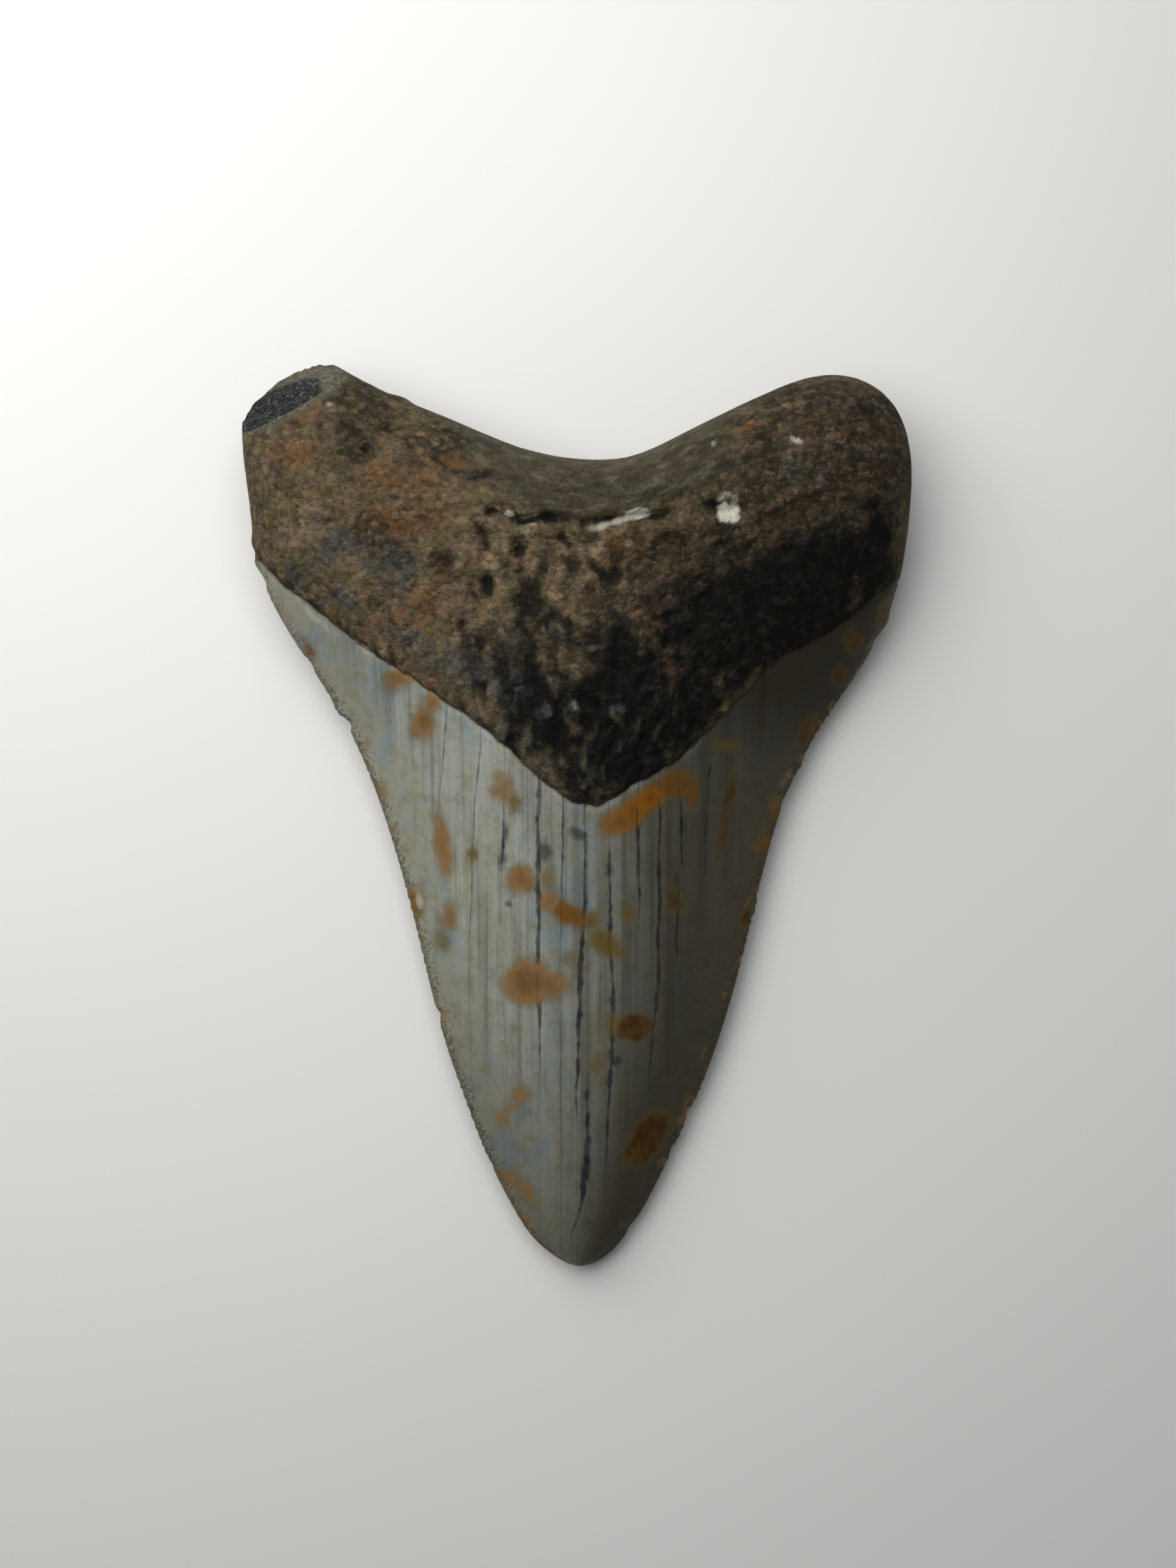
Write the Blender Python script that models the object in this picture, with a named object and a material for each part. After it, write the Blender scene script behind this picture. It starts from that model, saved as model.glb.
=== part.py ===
"""A fossil megalodon tooth, one solid, lying on its flatter labial face.

+X runs along the root from lobe to lobe, -Y points to the tip and +Z up through the bulging lingual
face. The origin is on the surface that the tooth rests on, under the middle of its outline.

The tooth is two sheets that share one outline, a lingual one above and a labial one below. Each is a
height over the same grid, which runs from edge to edge and from the tip to the root's basal edge.
Lengths are in millimetres, and the last step writes the mesh in metres.
"""

import bpy
import numpy as np
from mathutils import Vector

MM = 0.001

# The outline seen from above, as (x, y). Both cutting edges start at the tip and end on a root lobe.
LEFT_EDGE = (
    (0.2, -58.3), (-3.1, -57.0), (-6.3, -54.1), (-8.7, -50.3), (-11.5, -44.8), (-14.4, -37.4),
    (-17.0, -30.0), (-20.8, -15.2), (-24.9, -0.5), (-30.0, 12.0), (-36.9, 23.2), (-40.7, 31.0),
    (-42.0, 39.5), (-42.8, 47.5), (-42.2, 53.8), (-39.0, 57.6),
)
RIGHT_EDGE = (
    (0.2, -58.3), (3.5, -57.0), (6.2, -54.1), (8.6, -50.3), (11.4, -44.8), (14.8, -37.4),
    (17.7, -30.0), (21.9, -15.2), (25.7, -0.5), (30.5, 10.5), (37.7, 21.5), (40.8, 28.9),
    (42.2, 37.0), (42.4, 45.5), (41.3, 50.5), (39.0, 53.9),
)
BASAL_EDGE = (
    (-39.0, 57.6), (-33.9, 58.7), (-28.1, 56.2), (-15.4, 50.5), (-8.1, 47.4), (-0.9, 45.7),
    (6.3, 45.9), (12.5, 48.6), (24.4, 54.4), (31.8, 56.5), (36.0, 55.8), (39.0, 53.9),
)
TIP_DIRECTION = (1.0, 0.0)  # the two cutting edges meet in a round tip, tangent to +X and -X
LEFT_LOBE_DIRECTION = (0.80, 0.60)
RIGHT_LOBE_DIRECTION = (-0.72, 0.69)

# Height of the outline above the resting surface, as (y, height)
EDGE_LEVEL = ((-58.3, 2.6), (-30.0, 3.3), (0.0, 3.8), (18.0, 4.3), (28.0, 5.4), (40.0, 7.9), (58.7, 9.0))

# The lingual face of the crown rises from its edges to a crest
CREST_AT_TIP = 3.2
CREST_SLOPE = 0.158
TIP_ROUNDING = 9.0
CROWN_POWER = 2.3  # 2 is a parabola across, and more makes the crown's back broader
BLADE_FLATNESS = 0.35  # 0 is that curve alone, and 1 draws the edges out into flat blades

# The lingual face of the root
LOBE_RELIEF = 9.2
BULGE_RELIEF = 5.0
BULGE_MIDDLE = 2.5
BULGE_WIDTH = 21.0
SIDE_ROUNDING = 14.0
LOBE_BASAL_ROUNDING = 15.0
NOTCH_BASAL_ROUNDING = 9.0
ROOT_STARTS_AT = 8.0
ROOT_FULL_AT = 36.0

# The labial face
LABIAL_EDGE_POWER = 2.4
LABIAL_BULGE_BELOW = 0.3  # how far the labial face would reach below the flat that it rests on
LABIAL_TIP_ROUNDING = 5.0
LABIAL_ROUNDING = 11.0
LOBE_LIFT = 5.0
LOBE_LIFT_STARTS_AT = 17.0
LOBE_LIFT_LENGTH = 25.0

# The left lobe's end is broken off along a plane: a point on it and the way that it faces
BREAK_POINT = (-35.8, 51.5, 15.5)
BREAK_NORMAL = (-0.46, 0.72, 0.50)
CUTTER_SIZE = 200.0

# The line where the crown's enamel ends on the lingual face, as (x, y)
ENAMEL_LINE = (
    (-42.0, 34.0), (-27.4, 21.7), (-12.3, 11.9), (2.0, 1.2), (12.6, 7.4), (25.8, 20.5), (42.0, 31.5),
)
LABIAL_ENAMEL_LINE = ((-42.0, 34.0), (0.0, 25.0), (42.0, 31.5))

COLUMNS = 40
ROWS = 52
EVEN_SHARE = 0.35  # share of the grid's spacing that is even, the rest closing up towards both ends
FINE_SAMPLES = 4001  # points that stand for an edge's smooth curve when its length is measured

ENAMEL_COLOUR = (0.245, 0.265, 0.250, 1.0)
ENAMEL_ROUGHNESS = 0.42
ROOT_COLOUR = (0.075, 0.050, 0.032, 1.0)
ROOT_ROUGHNESS = 0.85


def spline_slopes(knots, values, start, end):
    """Slopes at the knots of the cubic spline through the values, with the slopes at both ends given."""
    gaps = np.diff(knots)
    count = len(knots)
    system = np.zeros((count, count))
    system[0, 0] = 1.0
    system[-1, -1] = 1.0
    wanted = np.zeros_like(values)
    wanted[0] = start
    wanted[-1] = end
    rises = np.diff(values, axis=0) / gaps[:, None]
    for i in range(1, count - 1):
        system[i, i - 1] = gaps[i]
        system[i, i] = 2.0 * (gaps[i - 1] + gaps[i])
        system[i, i + 1] = gaps[i - 1]
        wanted[i] = 3.0 * (gaps[i] * rises[i - 1] + gaps[i - 1] * rises[i])
    return np.linalg.solve(system, wanted)


def spline(knots, values, slopes, at):
    """The cubic spline's values at the given places."""
    piece = np.clip(np.searchsorted(knots, at, side="right") - 1, 0, len(knots) - 2)
    gap = (knots[piece + 1] - knots[piece])[:, None]
    t = (at[:, None] - knots[piece][:, None]) / gap
    before, after = values[piece], values[piece + 1]
    rise = after - before
    bend_before = slopes[piece] * gap - rise
    bend_after = rise - slopes[piece + 1] * gap
    return before + t * rise + t * (1.0 - t) * ((1.0 - t) * bend_before + t * bend_after)


def curve_through(points, start, end, fractions):
    """Points at these fractions of the length of the smooth curve through the given points."""
    points = np.array(points)
    knots = np.append(0.0, np.cumsum(np.linalg.norm(np.diff(points, axis=0), axis=1)))
    slopes = spline_slopes(knots, points, start, end)
    fine = spline(knots, points, slopes, np.linspace(0.0, knots[-1], FINE_SAMPLES))
    length = np.append(0.0, np.cumsum(np.linalg.norm(np.diff(fine, axis=0), axis=1)))
    wanted = fractions * length[-1]
    return np.stack([np.interp(wanted, length, fine[:, axis]) for axis in (0, 1)], axis=1)


def smooth_value(pairs, at):
    """The smooth function through (place, value) pairs, level beyond both ends."""
    pairs = np.array(pairs)
    knots, values = pairs[:, 0], pairs[:, 1:]
    slopes = spline_slopes(knots, values, 0.0, 0.0)
    clipped = np.clip(at, knots[0], knots[-1])
    return spline(knots, values, slopes, clipped.ravel())[:, 0].reshape(at.shape)


def smoothstep(low, high, value):
    """0 below low and 1 above high, with a smooth rise between."""
    t = np.clip((value - low) / (high - low), 0.0, 1.0)
    return t * t * (3.0 - 2.0 * t)


def rounded(distance, radius):
    """The height of a quarter circle at a distance in from its foot, as a share of its radius."""
    inward = np.clip(distance / radius, 0.0, 1.0)
    return np.sqrt(1.0 - (1.0 - inward) ** 2)


def eased(count):
    """count + 1 fractions from 0 to 1, closer together at both ends."""
    even = np.linspace(0.0, 1.0, count + 1)
    return EVEN_SHARE * even + (1.0 - EVEN_SHARE) * 0.5 * (1.0 - np.cos(np.pi * even))


def plan_grid(across, along):
    """x and y of the grid: a Coons patch on the two cutting edges and the basal edge.

    Row 0 is the tip, where the two cutting edges meet, so that whole row is one point.
    """
    tip = np.array(TIP_DIRECTION)
    left = curve_through(LEFT_EDGE, -tip, LEFT_LOBE_DIRECTION, along)[:, None]
    right = curve_through(RIGHT_EDGE, tip, RIGHT_LOBE_DIRECTION, along)[:, None]
    basal = curve_through(BASAL_EDGE, LEFT_LOBE_DIRECTION, -np.array(RIGHT_LOBE_DIRECTION), across)[None]
    u = across[None, :, None]
    v = along[:, None, None]
    chord = (1.0 - u) * basal[:, :1] + u * basal[:, -1:]
    plan = (1.0 - u) * left + u * right + v * (basal - chord)
    return plan[..., 0], plan[..., 1]


def lingual_height(x, y, side, to_side, to_basal, level):
    """The upper sheet: a crown with a crest along its middle, running into a thick, round-edged root."""
    from_tip = y - LEFT_EDGE[0][1]
    crest = (CREST_AT_TIP + CREST_SLOPE * from_tip) * rounded(from_tip, TIP_ROUNDING)
    arch = 1.0 - np.abs(side) ** CROWN_POWER
    bell = np.cos(0.5 * np.pi * side) ** 2
    crown = crest * ((1.0 - BLADE_FLATNESS) * arch + BLADE_FLATNESS * bell)
    middle = np.exp(-(((x - BULGE_MIDDLE) / BULGE_WIDTH) ** 2))
    basal_radius = LOBE_BASAL_ROUNDING + (NOTCH_BASAL_ROUNDING - LOBE_BASAL_ROUNDING) * middle
    root = (LOBE_RELIEF + BULGE_RELIEF * middle) * rounded(to_side, SIDE_ROUNDING)
    root = root * rounded(to_basal, basal_radius)
    share = smoothstep(ROOT_STARTS_AT, ROOT_FULL_AT, y)
    return level + (1.0 - share) * crown + share * root


def labial_height(x, y, side, to_side, to_basal, level):
    """The lower sheet: nearly flat, curving up to the edges and, on the root, up under both lobes."""
    from_tip = y - LEFT_EDGE[0][1]
    crown = (1.0 - np.abs(side) ** LABIAL_EDGE_POWER) * rounded(from_tip, LABIAL_TIP_ROUNDING)
    root = rounded(to_side, LABIAL_ROUNDING) * rounded(to_basal, LABIAL_ROUNDING)
    share = smoothstep(ROOT_STARTS_AT, ROOT_FULL_AT, y)
    inside = (1.0 - share) * crown + share * root
    outward = np.clip((np.abs(x) - LOBE_LIFT_STARTS_AT) / LOBE_LIFT_LENGTH, 0.0, None)
    floor = share * LOBE_LIFT * outward**1.5 - LABIAL_BULGE_BELOW
    return (1.0 - inside) * level + inside * floor


def sheets():
    """Points of the upper and the lower sheet, as rows by columns by xyz."""
    across, along = eased(COLUMNS), eased(ROWS)
    x, y = plan_grid(across, along)
    side = np.broadcast_to(2.0 * across[None] - 1.0, x.shape)
    half_width = 0.5 * np.hypot(x[:, -1] - x[:, 0], y[:, -1] - y[:, 0])[:, None]
    to_side = (1.0 - np.abs(side)) * half_width
    to_basal = (1.0 - along[:, None]) * (y[-1] - y[0])[None]
    level = smooth_value(EDGE_LEVEL, y)
    places = (x, y, side, to_side, to_basal, level)
    upper = np.stack([x, y, lingual_height(*places)], axis=-1)
    lower = np.stack([x, y, labial_height(*places)], axis=-1)
    return upper, lower


def sheet_faces(index, upwards):
    """Four-sided faces between neighbouring grid points, and triangles round the tip."""
    corners = [index[1:-1, :-1], index[1:-1, 1:], index[2:, 1:], index[2:, :-1]]
    quads = np.stack([corner.ravel() for corner in corners], axis=1)
    tip = np.full(COLUMNS, index[0, 0])
    fan = np.stack([tip, index[1, 1:], index[1, :-1]], axis=1)
    if not upwards:
        return quads[:, ::-1].tolist() + fan[:, ::-1].tolist()
    return quads.tolist() + fan.tolist()


def tooth_mesh():
    """The closed skin: both sheets joined along the outline they share."""
    upper, lower = sheets()
    rows, columns = upper.shape[:2]
    index = np.arange(rows * columns).reshape(rows, columns) - COLUMNS
    index[0] = 0
    inner = np.zeros(index.shape, bool)
    inner[1:-1, 1:-1] = True
    lower_index = index.copy()
    lower_index[inner] = index.max() + 1 + np.arange(inner.sum())
    points = np.concatenate([upper[0, :1], upper[1:].reshape(-1, 3), lower[inner]])
    faces = sheet_faces(index, True) + sheet_faces(lower_index, False)
    mesh = bpy.data.meshes.new("tooth")
    mesh.from_pydata((points * MM).tolist(), [], faces)
    mesh.shade_smooth()
    return mesh


def material(name, colour, roughness):
    made = bpy.data.materials.new(name)
    made.use_nodes = True
    shader = made.node_tree.nodes["Principled BSDF"]
    shader.inputs["Base Color"].default_value = colour
    shader.inputs["Roughness"].default_value = roughness
    return made


def paint(mesh):
    """Enamel on the faces below the enamel line of their side, bare root on the rest."""
    mesh.materials.append(material("fossil_enamel", ENAMEL_COLOUR, ENAMEL_ROUGHNESS))
    mesh.materials.append(material("fossil_root", ROOT_COLOUR, ROOT_ROUGHNESS))
    for face in mesh.polygons:
        x, y = face.center.x / MM, face.center.y / MM
        line = np.array(ENAMEL_LINE if face.normal.z > 0.0 else LABIAL_ENAMEL_LINE)
        face.material_index = int(y > np.interp(x, line[:, 0], line[:, 1]))


def add_cutter(name, point, normal):
    """A box with one face on a plane, and its body on the side that the normal points to."""
    direction = Vector(normal).normalized()
    bpy.ops.mesh.primitive_cube_add(size=CUTTER_SIZE * MM)
    cutter = bpy.context.object
    cutter.name = name
    cutter.rotation_euler = direction.to_track_quat("Z", "Y").to_euler()
    cutter.location = (Vector(point) + direction * 0.5 * CUTTER_SIZE) * MM
    cutter.hide_render = True
    cutter.display_type = "WIRE"
    return cutter


def cut(body, cutter):
    difference = body.modifiers.new(cutter.name, "BOOLEAN")
    difference.operation = "DIFFERENCE"
    difference.solver = "EXACT"
    difference.object = cutter


def build_tooth():
    mesh = tooth_mesh()
    paint(mesh)
    tooth = bpy.data.objects.new("tooth", mesh)
    bpy.context.collection.objects.link(tooth)
    cut(tooth, add_cutter("rest_plane_cutter", (0.0, 0.0, 0.0), (0.0, 0.0, -1.0)))
    cut(tooth, add_cutter("break_cutter", BREAK_POINT, BREAK_NORMAL))


def main():
    for old in list(bpy.data.objects):
        bpy.data.objects.remove(old)
    build_tooth()


main()
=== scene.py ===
"""The looks of a fossil megalodon tooth that lies on its flatter face, with its stage.

+X runs along the root from lobe to lobe, -Y points to the tip and +Z up through the bulging face.
Shapes are worked out in millimetres and written to their meshes in metres.
"""

import itertools
import math
from typing import NamedTuple

import bpy
import numpy as np
from bpy.props import FloatProperty, FloatVectorProperty, IntProperty, PointerProperty
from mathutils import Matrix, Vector


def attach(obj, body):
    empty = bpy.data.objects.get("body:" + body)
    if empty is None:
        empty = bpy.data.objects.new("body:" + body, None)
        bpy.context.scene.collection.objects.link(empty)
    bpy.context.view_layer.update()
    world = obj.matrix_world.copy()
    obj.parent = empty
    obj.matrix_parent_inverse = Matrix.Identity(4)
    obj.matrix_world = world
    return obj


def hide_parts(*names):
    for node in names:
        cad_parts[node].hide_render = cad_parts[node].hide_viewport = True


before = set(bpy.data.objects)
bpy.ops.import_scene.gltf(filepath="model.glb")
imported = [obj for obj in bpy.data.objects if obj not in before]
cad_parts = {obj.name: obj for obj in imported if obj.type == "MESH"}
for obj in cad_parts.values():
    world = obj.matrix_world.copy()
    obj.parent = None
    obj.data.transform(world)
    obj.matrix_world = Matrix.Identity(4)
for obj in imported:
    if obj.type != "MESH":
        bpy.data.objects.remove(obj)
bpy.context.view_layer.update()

bl_info = {
    "name": "Fossil tooth",
    "version": (1, 0, 0),
    "blender": (4, 5, 0),
    "location": "3D view > Sidebar > Fossil tooth",
    "description": "Builds a fossil megalodon tooth with its worn root and cracked enamel, and a plain stage",
    "category": "Add Mesh",
}

MM = 0.001

# ---------------------------------------------------------------- the tooth's plan and heights, in millimetres

# The outline seen from above, as (x, y). Both cutting edges start at the tip and end on a root lobe.
LEFT_EDGE = (
    (0.2, -58.3), (-3.1, -57), (-6.3, -54.1), (-8.7, -50.3), (-11.5, -44.8), (-14.4, -37.4), (-17, -30),
    (-20.8, -15.2), (-24.9, -0.5), (-30, 12), (-36.9, 23.2), (-40.7, 31), (-42, 39.5), (-42.8, 47.5), (-42.2, 53.8),
    (-39, 57.6),
)
RIGHT_EDGE = (
    (0.2, -58.3), (3.5, -57), (6.2, -54.1), (8.6, -50.3), (11.4, -44.8), (14.8, -37.4), (17.7, -30), (21.9, -15.2),
    (25.7, -0.5), (30.5, 10.5), (37.7, 21.5), (40.8, 28.9), (42.2, 37), (42.4, 45.5), (41.3, 50.5), (39, 53.9),
)
BASAL_EDGE = (
    (-39, 57.6), (-33.9, 58.7), (-28.1, 56.2), (-15.4, 50.5), (-8.1, 47.4), (-0.9, 45.7), (6.3, 45.9), (12.5, 48.6),
    (24.4, 54.4), (31.8, 56.5), (36, 55.8), (39, 53.9),
)
TIP_DIRECTION = (1.0, 0.0)
LEFT_LOBE_DIRECTION = (0.80, 0.60)
RIGHT_LOBE_DIRECTION = (-0.72, 0.69)
# How each random field's lattice is turned and moved, so that it lines up with neither the tooth nor another's
LATTICE_TURN = ((0.36, 0.48, -0.8), (-0.8, 0.6, 0), (0.48, 0.64, 0.6))
LATTICE_SHIFT = 0.37
BILLOW_MIDDLE = 0.6  # taken off the billows, so that they lie around 0
FINE_SAMPLES = 4001  # points that stand for an edge's smooth curve when its length is measured

# Height of the outline above the floor, as (y, height)
EDGE_LEVEL = ((-58.3, 2.6), (-30, 3.3), (0, 3.8), (18, 4.3), (28, 5.4), (40, 7.9), (58.7, 9))

CREST_AT_TIP = 3.2
CREST_SLOPE = 0.158
TIP_ROUNDING = 9.0
CROWN_POWER = 2.3
BLADE_FLATNESS = 0.35
LOBE_RELIEF = 9.2
BULGE_RELIEF = 5.0
BULGE_MIDDLE = 2.5
BULGE_WIDTH = 21.0
SIDE_ROUNDING = 14.0
LOBE_BASAL_ROUNDING = 15.0
NOTCH_BASAL_ROUNDING = 9.0
ROOT_STARTS_AT = 8.0
ROOT_FULL_AT = 36.0
LABIAL_EDGE_POWER = 2.4
LABIAL_BULGE_BELOW = 0.3
LABIAL_TIP_ROUNDING = 5.0
LABIAL_ROUNDING = 11.0
LOBE_LIFT = 5.0
LOBE_LIFT_STARTS_AT = 17.0
LOBE_LIFT_LENGTH = 25.0
LOBE_LIFT_POWER = 1.5
RESTING_SOFTNESS = 0.06  # how high the labial face floats where the flat it rests on cuts it

# The left lobe's end is broken off along a plane: a point on it and the way that it faces
BREAK_POINT = (-35.8, 51.5, 15.5)
BREAK_NORMAL = (-0.46, 0.72, 0.50)
BREAK_ALONG = (0.894, 0.447)  # the way that the break's lower edge runs, in plan
BREAK_BOW = 0.015  # how the break curves back to both ends of its lower edge, in millimetres over their square
BREAK_REACH = 7.0  # how far along its lower edge the break curves
# The line in plan past which the break's face is worn smooth and olive-grey
BREAK_CREST = ((-44, 53.6), (-40.5, 54.6), (-38.2, 55.3), (-34.6, 56), (-32.6, 55.4), (-31.6, 52.6), (-31, 50))

# Where the enamel ends on each face, as (x, y) from left to right
ENAMEL_LINE = (
    (-43, 35.5), (-40.9, 33.3), (-37.4, 29.6), (-32.6, 26.1), (-27.4, 21.7), (-21.5, 18.2), (-17.4, 15.3),
    (-12.3, 11.9), (-7.8, 7.9), (-4.4, 4.8), (-0.9, 2.2), (2.6, 1.5), (6.9, 4.3), (12.6, 7.4), (17.2, 11.9),
    (21.1, 15.9), (25.8, 20.5), (31.7, 23.4), (36, 26.5), (40.9, 30.7), (43, 32.5),
)
LABIAL_ENAMEL_LINE = (
    (-43, 35.5), (-36, 31), (-26, 28.4), (-15, 27.2), (-5, 25.2), (4, 24.8), (15, 26.4), (27, 27.2), (36, 29),
    (43, 32.5),
)

# ---------------------------------------------------------------- what time has done to it, in millimetres

# The groove under the root's basal face, as (x, y)
BASAL_GROOVE = (
    (-11.2, 37.8), (-8.3, 36.8), (-4.8, 37.2), (-1.3, 36.7), (2.4, 36.5), (5.6, 36.9), (9.1, 37.3), (12.5, 37.6),
    (16, 38), (18.6, 37.9), (21.3, 38.8), (24.8, 40.8), (29.2, 42.6),
)

# Upright furrows in the root's bulge, each as points (x, y)
FURROWS = (
    ((-8, 38.4), (-8.1, 35), (-7.8, 32.4)), ((-5.6, 28.2), (-5.9, 21), (-5.6, 13.9)), ((4.8, 23.2), (4.6, 10.2)),
    ((-1, 31.2), (-1.4, 26.6)), ((11.1, 25.2), (10.5, 15.4)), ((-11.2, 22.6), (-11.6, 16.2)),
    ((0.6, 19.2), (0.2, 8)), ((7.8, 19), (7.9, 11.5)), ((15.2, 30), (14.9, 25)), ((-2.9, 11.6), (-2.6, 6.2)),
)

# Pits in the root, as (x, y, half width, half height, depth)
PITS = (
    (-11.1, 29.1, 0.8, 1.4, 1.6), (-21.9, 48.9, 0.8, 0.5, 0.5), (-26.4, 46.3, 0.6, 0.6, 0.5),
    (-20.8, 46.4, 0.6, 0.5, 0.5), (25.9, 33.3, 0.9, 0.8, 0.6), (-23.8, 48.7, 0.5, 0.5, 0.4),
    (4.7, 29.7, 0.8, 1, 0.7), (-1.3, 27.6, 0.7, 1.7, 0.7), (10.4, 34.5, 1, 0.6, 0.5), (-14.5, 24.3, 0.5, 0.6, 0.4),
    (-19.3, 20, 0.7, 0.7, 0.4), (-1.9, 36.9, 1.8, 0.7, 0.6), (7.6, 24.2, 0.7, 1.2, 0.5), (-7.4, 33.2, 0.7, 1, 0.5),
    (15.8, 27.6, 0.9, 0.7, 0.5),
)

# Nicks (inwards) and bumps (outwards) of the outline, as (x, y, half length, how far outwards)
OUTLINE_MARKS = (
    (-29.6, 12.4, 0.7, -0.75), (-31.2, 14.2, 0.8, 0.25), (-34.6, 20.2, 0.8, -0.3), (-17.9, -25.4, 0.6, -0.5),
    (-41.2, 32.9, 0.7, 0.45), (-41.6, 35.4, 0.8, 0.35), (-40.2, 30.6, 0.6, -0.3), (-10.8, -44.7, 0.8, -0.2),
    (39.9, 25.4, 0.9, 0.35), (38.3, 23, 0.6, -0.25), (26.1, 2.4, 0.8, -0.3), (28.4, 7, 0.7, 0.25),
    (14.3, -38.1, 0.7, -0.4), (12, -42.9, 0.6, -0.3), (6.5, -52.9, 0.7, -0.3), (-22.4, 53.3, 0.9, 0.35),
    (-41.6, 53.4, 0.7, -0.4), (22.6, -11.6, 0.8, 0.2),
)

# ---------------------------------------------------------------- stains, as (x, y, half width, half height, turn)

TAN, ORANGE, AMBER, BROWN, OLIVE = range(5)

# Each with its tone and its strength
STAINS = (
    (-22.5, 17.9, 2.1, 1.3, 20, TAN, 0.9), (-19.5, 12, 1.5, 2.2, -15, TAN, 1), (-18.1, 14.8, 0.8, 2, -20, TAN, 1),
    (-34.6, 21.6, 0.6, 1.1, 20, ORANGE, 1), (-9.5, 3.6, 1.4, 2, 15, TAN, 0.7), (-8, 1.8, 0.8, 1.2, 0, OLIVE, 0.8),
    (-17.2, -3.3, 1.15, 3.9, 8, TAN, 1), (-13.5, -4.2, 0.6, 0.7, 0, OLIVE, 0.9), (-7, -7.5, 1.75, 1.75, 0, TAN, 1),
    (-3.6, -7.7, 0.9, 1.5, 0, OLIVE, 0.6), (-3.3, -10.2, 1.3, 1.2, 0, TAN, 0.9),
    (-1.1, -11.7, 2.6, 1.25, -35, ORANGE, 1), (1.7, -12.8, 1.2, 1.2, 0, OLIVE, 0.9),
    (3.5, -15.7, 2.4, 1.25, -40, OLIVE, 0.9), (-16.6, -12.5, 1, 1.8, -20, TAN, 0.8),
    (-17.4, -15.8, 0.8, 1.2, 0, OLIVE, 0.7), (-6.3, -20.5, 3.2, 2.9, 0, TAN, 1), (-3.5, -20.8, 2.1, 1.5, 0, TAN, 1),
    (-0.8, -17.8, 1, 1.2, 0, OLIVE, 0.5), (6.3, -11.8, 0.8, 0.9, 0, OLIVE, 1),
    (12.2, -10.3, 0.8, 1.4, 15, BROWN, 0.8), (7, -26.3, 2.3, 1.6, 15, BROWN, 0.95),
    (4.5, -25.8, 0.8, 1.2, 0, OLIVE, 0.8), (2.4, -31.2, 0.9, 1.3, 0, OLIVE, 0.6),
    (-7.3, -35.2, 1.2, 1, 45, TAN, 0.8), (-8.8, -37.1, 1.5, 0.55, 50, TAN, 0.8), (-9.9, -38.8, 0.8, 1, 0, TAN, 0.8),
    (8.9, -41.2, 2, 3.6, -35, BROWN, 1), (-8.8, -46.7, 1.7, 0.7, -25, TAN, 0.9),
    (-6.8, -48.3, 1.6, 0.8, -50, TAN, 0.9), (-21.1, -10.9, 0.8, 1.6, 0, ORANGE, 0.8),
    (23.9, -3.3, 0.8, 1.2, 0, ORANGE, 0.9), (25.7, 1.3, 0.7, 1.5, 0, ORANGE, 0.8),
    (21.7, -12.8, 0.7, 1.1, 0, BROWN, 0.9), (19.5, 2.8, 0.55, 2.1, -15, BROWN, 0.7),
    (18.3, -2.2, 0.5, 2.4, -10, BROWN, 0.6), (4.9, -0.4, 2, 1.6, 30, AMBER, 0.9),
    (6.9, 1.1, 1.8, 1.6, 30, AMBER, 1), (8.9, 2.6, 1.8, 1.5, 30, AMBER, 1), (11.2, 4.2, 1.6, 1.4, 35, ORANGE, 0.9),
    (13, 4.6, 1.7, 1.6, 0, ORANGE, 0.8), (14.4, 3.2, 1.2, 1.6, 0, ORANGE, 0.7),
    (19.1, 9.2, 1.5, 0.8, 0, OLIVE, 0.6), (39, 26.2, 0.6, 1, 0, BROWN, 1), (35.1, 22.9, 0.8, 0.9, 0, BROWN, 1),
    (33.6, 18.4, 0.8, 1, 0, BROWN, 0.9), (29.6, 11.4, 0.7, 1.5, -30, BROWN, 0.8),
    (-25.6, 3.4, 0.7, 1.3, 20, TAN, 0.5),
)
LABIAL_STAINS = (
    (-6, 8, 2.6, 3.4, 20, TAN, 1), (9.5, 14.5, 3.6, 1.9, -20, AMBER, 0.9), (12.8, 12.6, 1.5, 1.2, 0, ORANGE, 1),
    (-18, 20.5, 3, 1.6, 15, TAN, 0.8), (4.5, -9.5, 1.3, 2.6, 5, TAN, 0.9), (-9, -17, 1.8, 1.7, 0, ORANGE, 0.9),
    (-3.5, -31, 1.5, 2.2, -15, TAN, 0.9), (6.6, -38.5, 1.8, 1.3, 25, BROWN, 0.9),
    (14.4, -12, 1.1, 1.7, 0, TAN, 0.8), (-15.6, 2.4, 0.8, 2.4, 10, OLIVE, 0.8), (21, 3.6, 1.3, 1.3, 0, ORANGE, 0.8),
    (-1.2, -47.5, 1, 1.6, 0, TAN, 0.7), (24.5, 20, 2.4, 1.1, 20, OLIVE, 0.8), (-28, 14.6, 1, 1.5, 20, ORANGE, 0.9),
    (0.5, 20.8, 1.2, 1, 0, ORANGE, 0.9),
)

# Dark ink-blue spots in the enamel
INK_SPOTS = (
    (-0.2, -1.5, 1, 0.8, 0), (-4.2, -3.9, 0.9, 1.4, 0), (-8.9, -10.5, 0.6, 0.6, 0), (-9.6, -5.1, 0.5, 1.3, 0),
    (3.9, -6.2, 0.5, 0.9, 0), (1.2, -35.1, 0.5, 0.9, 0), (0.9, -45, 0.55, 1.5, 0), (4.7, -30.5, 0.6, 0.6, 0),
    (-9.3, -1.6, 0.45, 1.2, 0), (12.5, -7.6, 0.4, 0.8, 0),
)

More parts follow.
